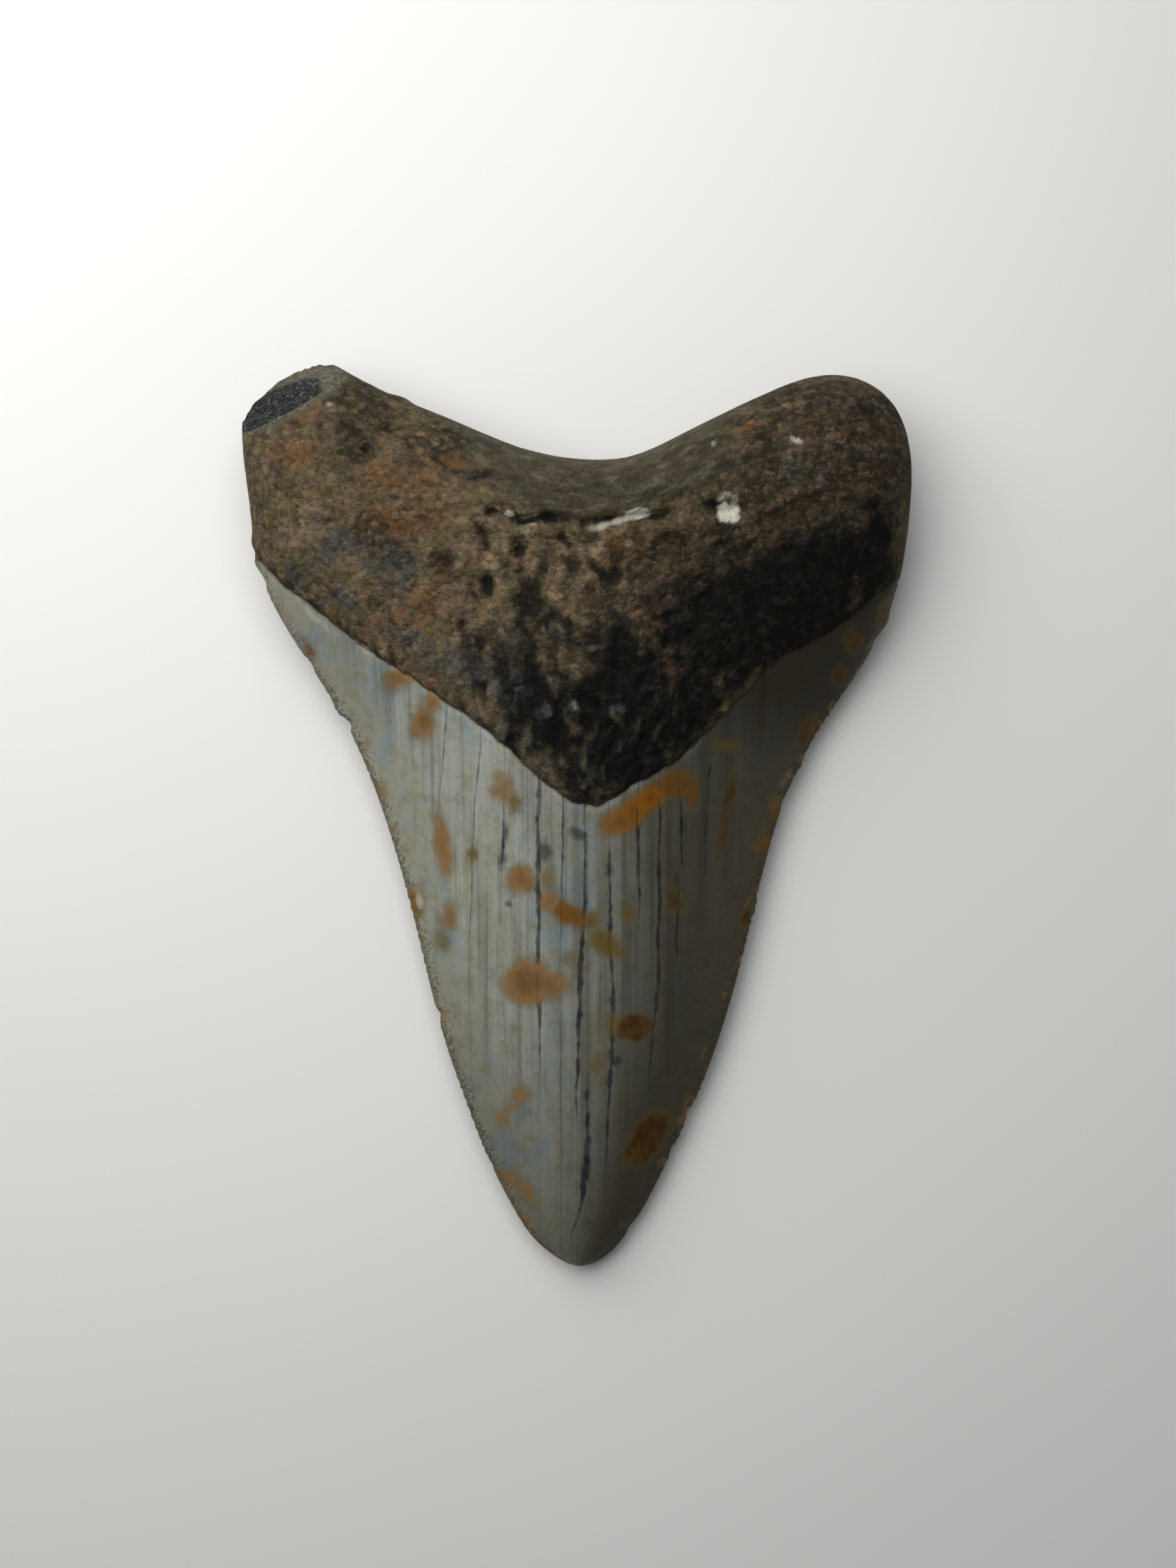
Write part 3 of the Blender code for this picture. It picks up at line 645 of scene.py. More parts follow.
def coarse_faces(index):
    """The lower sheet's faces: cells two by two, clockwise from above. A cell on the rim also takes the
    vertices of the rim that lie between its corners."""
    even = index[::2, ::2]
    a, b, c, d = even[1:-1, :-1], even[1:-1, 1:], even[2:, 1:], even[2:, :-1]
    left, right, basal = index[3::2, 0], index[3::2, -1], index[-1, 1::2]
    tip, first = index[0, 0], even[1]
    groups = [
        [d[:-1, 1:-1], c[:-1, 1:-1], b[:-1, 1:-1], a[:-1, 1:-1]],
        [d[:-1, 0], c[:-1, 0], b[:-1, 0], a[:-1, 0], left[:-1]],
        [d[:-1, -1], c[:-1, -1], right[:-1], b[:-1, -1], a[:-1, -1]],
        [d[-1, 1:-1], basal[1:-1], c[-1, 1:-1], b[-1, 1:-1], a[-1, 1:-1]],
        [d[-1, :1], basal[:1], c[-1, :1], b[-1, :1], a[-1, :1], left[-1:]],
        [d[-1, -1:], basal[-1:], c[-1, -1:], right[-1:], b[-1, -1:], a[-1, -1:]],
        [first[1:-2], first[2:-1], np.full(len(first) - 3, tip)],
        [first[:1], first[1:2], np.array([tip]), index[1, :1]],
        [first[-2:-1], first[-1:], index[1, -1:], np.array([tip])],
    ]
    return [np.stack([part.ravel() for part in parts], axis=1) for parts in groups]


def outward_push(x, y):
    """The way out of the outline in plan at both rims and at the basal edge: the edge's direction, turned
    by a quarter."""
    ways = []
    for border, turn in (((x[:, 0], y[:, 0]), -1.0), ((x[:, -1], y[:, -1]), 1.0), ((x[-1], y[-1]), -1.0)):
        step = np.stack([np.gradient(part) for part in border], axis=-1)
        step /= np.linalg.norm(step, axis=-1, keepdims=True)
        ways.append(turn * np.stack([step[:, 1], -step[:, 0]], axis=-1))
    return ways


def waves(rows, at):
    """A sum of sines along a length."""
    return sum(size * np.sin(rate * at + start) for size, rate, start in rows)


def outline_shift(shape, x, y, to_side, to_basal, along):
    """How far each grid point moves in plan. Worn saw teeth, a cosine of the distance from the tip, and single
    nicks and bumps push the rim out or in, and fade within a millimetre of it."""
    left, right, basal = outward_push(x, y)
    on_right = np.arange(x.shape[1]) >= x.shape[1] // 2
    out = np.where(on_right[None, :, None], right[:, None], left[:, None])
    from_tip = along[:, None] * np.array(EDGE_LENGTHS)[on_right.astype(int)]
    turns = 2.0 * np.pi * from_tip * MM / shape.serration_pitch
    wander = waves(TEETH_WANDER, from_tip)
    coarse, fine = TEETH_SHARES
    teeth = coarse * np.cos(turns + wander) + fine * np.cos(FINER_TEETH * turns + 2.0 * wander)
    blade = smoothstep(*TEETH_BEGIN, from_tip) * (1.0 - smoothstep(*TEETH_END, y))
    push = 0.5 * shape.serration / MM * teeth * (MEAN_WEAR + waves(TEETH_WEAR, from_tip)) * blade
    basal_push = np.zeros_like(x)
    for mark_x, mark_y, half_length, outwards in OUTLINE_MARKS:
        near = outwards * bell(np.hypot(x - mark_x, y - mark_y) / (MARK_SPREAD * half_length))
        if mark_y > BASAL_MARKS_FROM:
            basal_push = basal_push + near
        else:
            push = push + near
    side_share = np.exp(-to_side / SIDE_FADE)[..., None]
    basal_share = np.exp(-to_basal / BASAL_FADE)[..., None]
    return push[..., None] * out * side_share + basal_push[..., None] * basal[None] * basal_share


def heaped(points, rows):
    """A sum of random fields, each with its share, stretch, size and seed."""
    return sum(share * field(points * np.array(stretch), size, seed) for field, share, stretch, size, seed in rows)


def relief(shape, points, places):
    """How far each vertex stands out along its normal. The bare root has lumps, knobs and grain from random
    fields, upright ridges near the enamel, pits, and a groove along its notch. The enamel stands a step
    above it, with broad shallow flutes."""
    x, y, upper, past_line = (places[name] for name in ("x", "y", "upper", "enamel"))
    bare = 1.0 - smoothstep(*BARE_EDGE, past_line)
    along_notch = above(BASAL_GROOVE, x, y)
    notch_face = smoothstep(*NOTCH_FACE_FROM, along_notch) * (1.0 - smoothstep(*NOTCH_FACE_TO, np.abs(x - MIDDLE)))
    near_enamel = upper * (1.0 - smoothstep(*RIDGED_BAND, -past_line))
    coarse = 1.0 - NOTCH_FACE_CALM * upper * notch_face
    rim = smoothstep(0.0, CALM_RIM_WIDTH, np.minimum(places["to_side"], places["to_basal"]))
    bulge = bell((x - MIDDLE) / KNOBBY_WIDTH) * smoothstep(*KNOBBY_FROM, y) * upper
    knobby = LEAST_KNOBBY + (1.0 - LEAST_KNOBBY) * bulge
    dents = coarse * knobby * shape.root_knobs / MM * heaped(points, KNOBS) * (1.0 - KNOBS_LOST * near_enamel)
    dents = dents + coarse * shape.root_grain / MM * heaped(points, GRAIN) + near_enamel * heaped(points, RIDGES)
    lumps = shape.root_lumps / MM * heaped(points, LUMPS)
    out = bare * (CALM_RIM + (1.0 - CALM_RIM) * rim) * (lumps + dents)

    pits = sum(depth * bell(np.hypot((x - px) / pw, (y - py) / ph) ** PIT_POWER) for px, py, pw, ph, depth in PITS)
    groove = distance_to(BASAL_GROOVE, x, y)
    lip = LIP_HEIGHT * bell((along_notch + LIP_BELOW) / LIP_WIDTH) * (groove < LIP_REACH)
    uneven = np.clip(heaped(points, GROOVE_DEPTH) + GROOVE_MEAN, *GROOVE_DEPTHS)
    uneven = uneven * (1.0 - GROOVE_LOST * smoothstep(*GROOVE_FADES, x))
    groove = shape.basal_groove / MM * bell((groove + heaped(points, GROOVE_STRAY)) / GROOVE_WIDTH) * uneven
    stray = heaped(points, FURROW_STRAY)
    furrows = sum(bell((distance_to(line, x, y) + stray) / FURROW_WIDTH) for line in FURROWS)
    uneven = np.clip(heaped(points, FURROW_DEPTH) + FURROW_MEAN, *FURROW_DEPTHS)
    furrows = shape.furrow / MM * np.clip(furrows, 0.0, 1.0) * uneven
    out += upper * bare * (lip - pits - groove - furrows)

    step = shape.enamel_step / MM * smoothstep(*STEP_RISES, past_line) * (1.0 - smoothstep(*STEP_SINKS, past_line))
    line = shape.enamel_groove / MM * bell(past_line / LINE_WIDTH)
    inner = smoothstep(0.0, FLUTES_FROM_RIM, places["to_side"])
    out = out + inner * (step - line + (1.0 - bare) * heaped(points, FLUTES))
    upright_zone = upper * bell((x + UPRIGHT_LEFT) / UPRIGHT_WIDTH) * smoothstep(*UPRIGHT_FROM, past_line)
    # The second field, the crevices, sinks in pits, the groove, furrows and just under the enamel's line; the finish
    # paints it dark there as dirt and painted shade, and pale on its tops as pale grain and painted highlight.
    cuts = sum(share * cut for share, cut in zip(DIRT_AND_SHADE_IN_CUTS, (pits, groove, furrows)))
    under_line = DIRT_AND_SHADE_UNDER_LINE * bell((past_line + DIRT_AND_SHADE_LINE_BELOW) / DIRT_AND_SHADE_LINE_WIDTH)
    return out, dents - upper * cuts - under_line, upright_zone


def break_off(points):
    """Lays the points past the break's plane down onto it, with grains of broken stone."""
    normal = np.array(BREAK_NORMAL) / np.linalg.norm(BREAK_NORMAL)
    from_middle = points - np.array(BREAK_POINT)
    along = np.clip(from_middle[:, :2] @ np.array(BREAK_ALONG), -BREAK_REACH, BREAK_REACH)
    past = from_middle @ normal + BREAK_BOW * along**2
    flat = points - np.maximum(past, 0.0)[:, None] * normal
    rough = heaped(flat, BROKEN_STONE) - BROKEN_DOWN
    kept = np.minimum(past, 0.0) + rough * smoothstep(*BROKEN_EDGE, past)
    return points + (kept - past)[:, None] * normal, past


def bake_map(sheet, turn, middle):
    """A sheet laid out flat with little stretch: across, the length along each row from its middle, and up,
    the length along each column from its middle row. Turn is 1, or -1 for upside down."""
    steps = np.linalg.norm(np.diff(sheet, axis=1), axis=-1)
    across = np.pad(np.cumsum(steps, axis=1), ((0, 0), (1, 0)))
    across -= across[:, across.shape[1] // 2, None]
    steps = np.linalg.norm(np.diff(sheet, axis=0), axis=-1)
    up = np.pad(np.cumsum(steps, axis=0), ((1, 0), (0, 0)))
    up -= up[up.shape[0] // 2, None]
    return turn * np.stack([across, up], axis=-1) + np.array(middle)


def set_uv(mesh, upper, lower, upper_faces):
    """Puts both sheets side by side on one square map, the lower one upside down so that its tip lies by the
    other's root. A vertex on the shared rim has its place on both."""
    front, back = bake_map(upper, 1.0, (0.0, 0.0)), bake_map(lower, -1.0, (0.0, 0.0))
    back[..., 0] += MAP_MIDDLES
    back[..., 1] += front[..., 1].max() - back[..., 1].max()
    low = np.minimum(front.min(axis=(0, 1)), back.min(axis=(0, 1)))
    high = np.maximum(front.max(axis=(0, 1)), back.max(axis=(0, 1)))
    side = (high - low).max() + 2.0 * MAP_GAP
    front, back = (as_vertices(part, part) for part in (front, back))
    loops = np.empty(len(mesh.loops), np.int64)
    mesh.loops.foreach_get("vertex_index", loops)
    totals = np.empty(len(mesh.polygons), np.int64)
    mesh.polygons.foreach_get("loop_total", totals)
    on_front = np.repeat(np.arange(len(totals)) < upper_faces, totals)
    places = np.where(on_front[:, None], front[loops], back[loops])
    layer = mesh.uv_layers.new(name="OFBake")
    layer.data.foreach_set("uv", ((places - low + MAP_GAP) / side).astype(np.float32).ravel())


def surface_fields(points, places, crevice, past_break, upright_zone):
    """The fields on the vertices that say where each finish goes."""
    on_upper = places["upper"] > 0.5
    near = wandered(points, *SPOT_WANDER)
    stain = [nearest_spots(spots, *near) for spots in (STAINS, LABIAL_STAINS)]
    rim, tone, strength = (np.where(on_upper, top, bottom) for top, bottom in zip(*stain))
    ink = nearest_spots(INK_SPOTS, *near)[0]
    chalk, chalk_strength = nearest_spots(CHALK_MARKS, *wandered(points, *CHALK_WANDER))
    fields = {
        "stain_rim": rim, "stain_tone": tone / OLIVE, "stain_strength": strength, "crevice": crevice,
        "past_enamel_line": places["enamel"], "past_break": past_break,
        "break_crest": np.clip(above(BREAK_CREST, *points[:, :2].T), -FAR, FAR),
        "from_cutting_edge": places["to_side"], "from_basal_edge": places["to_basal"],
        "upper_face": places["upper"], "crown_side": np.where(on_upper, places["side"], UNDER_SIDE),
        "from_tip": places["y"] - LEFT_EDGE[0][1], "ink_rim": np.where(on_upper, ink, -FAR),
        "chalk_rim": np.where(on_upper, chalk, -FAR), "chalk_strength": chalk_strength,
        "upright_zone": upright_zone,
    }
    far = wandered(points, *PATCH_WANDER)
    far = wandered(np.stack([*far, points[:, 2]], axis=1), *PATCH_FRAY)
    stretched = points * np.array(UNDER_PATCH_STRETCH)
    for seed, (name, spots) in enumerate(PATCHES.items(), FIRST_PATCH_SEED):
        below = UNDER_PATCH_MEAN + UNDER_PATCH_SHARE * clouds(stretched, UNDER_PATCH_SIZE, seed)
        fields[name] = np.where(on_upper, patches(spots, *far), below)
    basal = np.clip(above(BASAL_GROOVE, places["x"], places["y"]), -BASAL_REACH, BASAL_REACH)
    basal -= BASAL_LOBES * smoothstep(*BASAL_FADES, np.abs(places["x"] - MIDDLE))
    fields["past_groove"] = np.where(on_upper, basal, -BASAL_REACH)
    return fields


def tooth_surface(shape):
    """The tooth's closed skin: a fine upper sheet and a coarser lower one that share their outline."""
    across, along = (eased(count, share) for count, share in zip((shape.columns, shape.rows), EASING))
    x, y = plan_grid(across, along)
    side = np.broadcast_to(2.0 * across[None] - 1.0, x.shape)
    half_width = 0.5 * np.hypot(x[:, -1] - x[:, 0], y[:, -1] - y[:, 0])[:, None]
    to_side = (1.0 - np.abs(side)) * half_width
    to_basal = (1.0 - along[:, None]) * (y[-1] - y[0])[None]
    grids = (x, y, side, to_side, to_basal, smooth_value(EDGE_LEVEL, y))
    shift = outline_shift(shape, x, y, to_side, to_basal, along)
    heights = (lingual_height(*grids), labial_height(*grids))
    upper, lower = (np.stack([x + shift[..., 0], y + shift[..., 1], height], axis=-1) for height in heights)

    names = ("x", "y", "side", "to_side", "to_basal")
    places = {name: as_vertices(grid, grid) for name, grid in zip(names, grids)}
    places["upper"] = as_vertices(np.ones_like(x), np.zeros_like(x))
    lines = [-above(line, places["x"], places["y"]) for line in (ENAMEL_LINE, LABIAL_ENAMEL_LINE)]
    places["enamel"] = np.where(places["upper"] > 0.5, *lines)

    index = np.arange(x.size).reshape(x.shape) - (x.shape[1] - 1)
    index[0] = 0
    lower_index = index.copy()
    own = lower_index[2:-1:2, 2:-1:2]
    own[:] = index.max() + 1 + np.arange(own.size).reshape(own.shape)
    upper_parts = fine_faces(index)
    faces = [face for part in upper_parts + coarse_faces(lower_index) for face in part.tolist()]
    points = as_vertices(upper, lower)
    mesh = bpy.data.meshes.new("tooth_surface")
    mesh.from_pydata(points.tolist(), [], faces)
    normals = np.empty(points.size, np.float32)
    mesh.vertex_normals.foreach_get("vector", normals)
    out, crevice, upright_zone = relief(shape, points, places)
    points = points + out[:, None] * normals.reshape(-1, 3)
    points, past_break = break_off(points)
    lift = 0.5 * (points[:, 2] + np.sqrt(points[:, 2] ** 2 + RESTING_SOFTNESS**2))
    points[:, 2] = np.where(points[:, 2] < LEAST_LIFT, np.maximum(lift, points[:, 2]), points[:, 2])
    mesh.vertices.foreach_set("co", (points * MM).astype(np.float32).ravel())
    mesh.shade_smooth()
    for name, values in surface_fields(points, places, crevice, past_break, upright_zone).items():
        made = mesh.attributes.new(name, "FLOAT", "POINT")
        made.data.foreach_set("value", np.asarray(values, np.float32))
    set_uv(mesh, upper, lower, sum(len(part) for part in upper_parts))
    return mesh


# ---------------------------------------------------------------- finishes

# The fossil tooth is apatite enamel over mineralised dentine, polished by water and stained by iron. The enamel
# is a hard satin grey with upright cracks that hold dark mineral, and round rust stains. The dentine of the root
# is dull, porous and grainy, brown to black, with patches of rust, slate and chalk.

FLUORAPATITE_IOR = 1.63
MICRO_PITTED_SHINE = 0.09  # pits too fine to see swallow much of the mirror reflection

# Soft random fields, as (size of a feature in millimetres, stretch along x, y and z, detail, roughness)
NOISES = {
    "wander": (1.6, (1, 1, 1), 3, 0.55),
    "bend": (7, (1, 1, 4), 2, 0.5),
    "clouds": (9, (1, 1.6, 1), 3, 0.6),
    "bands": (1.5, (1, 30, 30), 2, 0.55),
    "streaks": (0.8, (1, 50, 50), 2, 0.55),
    "pencil": (0.4, (1, 70, 70), 1, 0.5),
    "mottle": (2, (1, 1.3, 1), 4, 0.65),
    "beads": (1, (1, 2, 2), 2, 0.55),
    "blot": (1.1, (1, 1, 1), 3, 0.6),
    "fine": (0.5, (1, 1, 1), 2, 0.6),
    "grain": (1.3, (1.15, 1, 1), 4, 0.62),
    "crumbs": (0.62, (1.2, 1, 1), 3, 0.62),
    "hue": (2.6, (1.1, 1, 1), 3, 0.65),
    "warmth": (3.4, (1.2, 1, 1), 3, 0.65),
    "upright": (1.9, (1, 2.4, 1.2), 2, 0.52),
}

# The same on coordinates of x and the distance from the basal edge, so that they run along the notch
NOTCH_NOISES = {
    "level": (1.3, (2.2, 1, 1), 4, 0.68),
    "lengths": (1.7, (2.2, 1, 1), 4, 0.66),
}

# Scattered dots, as (distance between them in millimetres, stretch along x, y and z). A field is its place's
# distance from the nearest dot, as a share of that.
DOTS_FIRST = 16  # the number of the first one's part of the noise
DOTS = {
    "chips": (1.05, (1, 1.4, 1)),
}
FIELD_SHIFT = 17.3  # how far apart the parts of the noise lie

# Grains packed side by side, as (size in millimetres, stretch along x, y and z). Each kind has a field for how
# far a place is from its grain's middle, and three for random numbers that belong to the grain.
GRAINS = {
    "grit": (0.7, (1.3, 1, 1)),
    "sand": (0.36, (1, 1, 1)),
}
# The soft noise that bends the grains: its size in millimetres, its detail and its strength
STRAY_SIZE, STRAY_DETAIL, STRAY = 0.9, 2.0, 0.7


class Mask(NamedTuple):
    """From 0 up to its strength as field + weight * noise goes from low to high, times another mask."""

    field: str
    low: float
    high: float
    strength: float = 1.0
    times: str = ""
    noise: str = ""
    weight: float = 0.0


MASKS = {
    "bare root": Mask("past_enamel_line", 0.43, 0.27, 1, "", "wander", 0.7),
    "enamel": Mask("past_enamel_line", 0.27, 0.43, 1, "", "wander", 0.7),
    "by the enamel": Mask("upright_zone", 0.3, 0.8, 1, "bare root", "clouds", 0.4),
    "brown": Mask("grain", 0.28, 0.56, 0.96),
    "pink": Mask("hue", 0.47, 0.64, 0.66),
    "olive": Mask("warmth", 0.5, 0.36, 0.66),
    "umber": Mask("umber_patch", 0.5, 1.05, 0.84, "", "grain", 0.9),
    "rusty": Mask("rust_patch", 0.6, 1.3, 0.74, "", "grain", 1.1),
    "basal": Mask("past_groove", 0.9, 2.6, 0.66, "", "hue", 2.2),
    # Pale patches on the bulge: pale mineral and partly painted highlight.
    "paled": Mask("pale_patch", 0.6, 1.2, 0.66, "", "grain", 1.2),
    "hazy": Mask("warmth", 0.57, 0.68, 0.42, "bare root"),
    "slaty": Mask("slate_patch", 0.48, 1.15, 0.78, "", "hue", 0.9),
    "pink grit": Mask("grit a", 0.8, 1.15, 0.34, "bare root", "fine", 0.35),
    "red grit": Mask("grit b", 0.92, 1.18, 0.24, "bare root", "fine", 0.35),
    "olive grit": Mask("grit b", 0.46, 0.14, 0.5, "bare root", "fine", 0.35),
    "grey grit": Mask("grit a", 0.36, 0.14, 0.42, "bare root", "fine", 0.35),
    "pale grit": Mask("grit c", 0.96, 1.24, 0.2, "bare root", "fine", 0.4),
    "dark grit": Mask("grit c", 0.52, 0.16, 0.5, "bare root", "fine", 0.35),
    "between grit": Mask("grit rim", 0.62, 1.04, 0.36, "bare root", "fine", 0.34),
    "pale grain": Mask("crumbs", 0.52, 0.78, 0.3, "bare root"),
    "dark grain": Mask("crumbs", 0.48, 0.26, 0.55, "bare root"),
    # Pale on the tops of the root's lumps: pale grain and painted highlight.
    "pale and lit tops": Mask("crevice", 0.16, 0.62, 0.8, "bare root", "fine", 0.3),
    "blackened": Mask("black_patch", 0.4, 1.1, 0.985, "", "grain", 1),
    # Dark in the root's crevices: dirt and painted shade.
    "dirt and crevice shade": Mask("crevice", 0.12, -0.24, 0.84, "bare root", "fine", 0.3),
    "basal streak": Mask("level", 0.5, 0.66, 0.86, "basal"),
    "basal dark": Mask("level", 0.48, 0.36, 1, "basal"),
    "upright dark": Mask("upright", 0.55, 0.36, 0.78, "by the enamel"),
    "upright pale": Mask("upright", 0.53, 0.76, 0.5, "by the enamel"),
    # Painted blue glints of reflected light among the black by the enamel.
    "painted blue glint": Mask("hue", 0.56, 0.72, 0.55, "by the enamel"),
    "by the notch": Mask("from_basal_edge", 15, 8, 1, "bare root", "clouds", 5),
    "lengthwise dark": Mask("lengths", 0.51, 0.34, 0.8, "by the notch"),
    "lengthwise pale": Mask("lengths", 0.52, 0.72, 0.42, "by the notch"),
    "brown in black": Mask("grit b", 0.62, 0.98, 0.09, "blackened"),
    # The line: a dark band along the enamel's line, painted shade of its groove.
    "line start": Mask("past_enamel_line", -0.05, 0.25, 1, "", "wander", 0.7),
    "line": Mask("past_enamel_line", 0.8, 0.4, 0.42, "line start", "wander", 0.7),
    "middle": Mask("from_cutting_edge", 5, 12, 1, "enamel", "clouds", 6),
    "cloud": Mask("clouds", 0.48, 0.64, 0.7, "enamel"),
    "blue cloud": Mask("clouds", 0.5, 0.36, 0.9, "enamel"),
    # The right flank is smoky enamel and painted shade, and its shoulder by the root is darker still with the same
    # painted shade; the tip's smoky tone is the enamel's own.
    "smoky and shaded side": Mask("crown_side", -0.24, 0.86, 0.85, "enamel", "clouds", 0.4),
    "smoky and shaded shoulder": Mask("from_tip", 66, 80, 0.85, "smoky and shaded side", "clouds", 8),
    "smoky tip": Mask("from_tip", 60, 0, 0.58, "enamel", "clouds", 14),
    "green spot": Mask("hue", 0.5, 0.66, 0.7, "enamel"),
    "freckle": Mask("fine", 0.52, 0.7, 0.22, "enamel"),
    "smoke": Mask("mottle", 0.48, 0.72, 0.34, "enamel"),
    "striped": Mask("from_tip", 6, 36, 1, "middle", "clouds", 16),
    "dark band": Mask("bands", 0.5, 0.66, 0.5, "striped"),
    "pale band": Mask("bands", 0.48, 0.32, 0.62, "striped"),
    "dark streak": Mask("streaks", 0.54, 0.74, 0.45, "striped"),
    "pale streak": Mask("streaks", 0.46, 0.28, 0.4, "striped"),
    "pencil line": Mask("pencil", 0.62, 0.74, 0.5, "striped"),
    "edge zone": Mask("from_cutting_edge", 2.6, 1.1, 1, "enamel", "blot", 1.2),
    "worn edge": Mask("from_cutting_edge", 1.5, 0.75, 0.5, "enamel", "blot", 1.3),
    "edge grain": Mask("sand b", 0.7, 0.96, 0.34, "edge zone"),
    "edge pit": Mask("sand a", 0.42, 0.1, 0.66, "edge zone"),
    "edge chip": Mask("chips", 0.42, 0.2, 0.6, "edge zone", "blot", 0.4),
    "edge rust": Mask("warmth", 0.52, 0.62, 0.62, "edge zone"),
    "halo": Mask("stain_rim", -0.55, 0.75, 0.5, "enamel", "blot", 1),
    "stain": Mask("stain_rim", 0.04, 1.02, 0.95, "enamel", "blot", 0.9),
    "stain heart": Mask("stain_rim", 1.2, 2.6, 0.42, "stain", "blot", 1.6),
    "mottled": Mask("mottle", 0.44, 0.62, 0.45, "stain"),
    "ink": Mask("ink_rim", 0.05, 0.8, 0.65, "enamel", "blot", 0.8),
    "chalky": Mask("chalk_rim", 0.12, 0.62, 1, "", "blot", 0.7),
    "below crest": Mask("break_crest", 0.9, -0.1, 1, "", "blot", 1),
    "broken": Mask("past_break", -0.15, 0.05, 1, "below crest", "blot", 0.3),
    "break's rim": Mask("past_break", -0.75, 0.15, 0.8, "", "blot", 0.9),
    "rim's grain": Mask("grit c", 0.6, 0.2, 0.45, "break's rim"),
    "rim's dust": Mask("sand b", 0.62, 0.95, 0.45, "break's rim"),
    "broken grain": Mask("sand a", 0.66, 0.2, 0.92, "broken"),
    # Pale specks on the break: its crystals and their painted glints.
    "glint": Mask("sand b", 0.8, 0.99, 0.55, "broken"),
    "orange tone": Mask("stain_tone", 0.1, 0.15),
    "amber tone": Mask("stain_tone", 0.35, 0.4),
    "brown tone": Mask("stain_tone", 0.6, 0.65),
    "olive tone": Mask("stain_tone", 0.85, 0.9),
}

# Masks that a field of the vertices makes fainter
STRENGTHS = (("chalky", "chalk_strength"), ("stain", "stain_strength"), ("halo", "stain_strength"))

# Finishes laid over one another from the dark root up, as (mask, colour)
LAYERS = (
    # Pale tops and pale patches are pale mineral and partly painted highlight on the root's lumps.
    ("brown", "root"), ("pale and lit tops", "root_pale"), ("paled", "root_tan"), ("pink", "root_pink"),
    ("olive", "root_olive"), ("umber", "umber"), ("rusty", "rust"), ("slaty", "slate"), ("hazy", "slate"),
    ("pink grit", "root_pink"), ("olive grit", "root_olive"), ("red grit", "rust"), ("grey grit", "slate"),
    ("pale grit", "root_pale"), ("dark grit", "root_dark"), ("between grit", "root_dark"),
    ("pale grain", "root_pale"), ("dark grain", "root_dark"), ("lengthwise pale", "root_pink"),
    ("lengthwise dark", "umber"), ("basal", "basal_face"), ("blackened", "black"), ("brown in black", "root"),
    # Dirt and painted shade in the root's crevices, in black.
    ("upright pale", "upright_pale"), ("painted blue glint", "painted_blue_glint"), ("dirt and crevice shade", "black"),
    ("basal streak", "upright_pale"), ("basal dark", "root_dark"), ("upright dark", "black"),
    ("enamel", "enamel_side"), ("middle", "enamel"), ("cloud", "enamel_side"), ("blue cloud", "enamel_blue"),
    ("green spot", "enamel_green"), ("dark band", "enamel_dark"), ("pale band", "enamel_pale"),
    ("pale streak", "enamel_pale"), ("smoke", "enamel_dark"), ("freckle", "enamel_dark"),
    ("dark streak", "enamel_dark"), ("pencil line", "enamel_dark"), ("edge grain", "edge_fleck"),
    # Smoky side and smoky shoulder: smoky enamel plus painted shade on the right flank.
    ("edge pit", "cutting_edge"), ("edge chip", "edge_fleck"), ("smoky and shaded side", "smoky_enamel_and_shade"),
    # The line is painted shade in the groove along the enamel's line.
    ("smoky and shaded shoulder", "root_dark"), ("smoky tip", "smoky_enamel_and_shade"), ("line", "root_dark"),
    ("worn edge", "cutting_edge"), ("edge rust", "tan_stain"), ("crack", "crack"),
)

# Stain colours, each laid over the last where its tone begins
TONES = (
    ("orange tone", "orange_stain"), ("amber tone", "amber_stain"), ("brown tone", "brown_stain"),
    ("olive tone", "olive_stain"),
)

# What lies around a stain and what marks it
HALO = (("halo", "olive_stain"),)
STAIN_MARKS = (("mottled", "olive_stain"), ("stain heart", "brown_stain"))

# Layers over the stains
TOP_LAYERS = (
    ("ink", "crack"), ("chalky", "chalk"), ("break's rim", "break_rim"), ("rim's grain", "root_dark"),
    ("rim's dust", "root_pale"), ("broken", "break_face"), ("broken grain", "black"), ("glint", "break_glint"),
)

# Roughness laid over the dull root's, as (mask, roughness)
ROOT_ROUGHNESS = 0.78
ROUGHNESSES = (
    ("basal", 0.62), ("enamel", 0.4), ("worn edge", 0.62), ("stain", 0.5), ("crack", 0.6), ("chalky", 0.8),
    ("broken", 0.7),
)

# Fine relief as (field or mask, height in millimetres, mask that it is kept to)
FINE_RELIEF = (
    ("grain", 0.3, "bare root"), ("grit rim", -0.1, "bare root"), ("crumbs", 0.2, "bare root"),
    ("fine", 0.12, "bare root"), ("upright dark", -0.2, ""), ("streaks", 0.04, "enamel"),
    ("mottle", 0.04, "enamel"), ("level", 0.2, "basal"), ("worn edge", -0.1, ""), ("edge chip", 0.08, ""),
    ("crack", -0.12, "enamel"), ("line", -0.1, ""), ("blot", 0.12, "edge zone"), ("sand rim", -0.12, "edge zone"),
    ("chalky", 0.1, ""), ("sand rim", -0.3, "broken"), ("grit rim", -0.3, "broken"),
)


def add_node(tree, kind, inputs, **settings):
    """Adds a node with its settings, fills its inputs with values or links, and returns its outputs."""
    made = tree.nodes.new("ShaderNode" + kind)
    for name, value in settings.items():
        setattr(made, name, value)
    for name, value in inputs.items():
        if isinstance(value, bpy.types.NodeSocket):
            tree.links.new(value, made.inputs[name])
        else:
            made.inputs[name].default_value = value
    return made.outputs


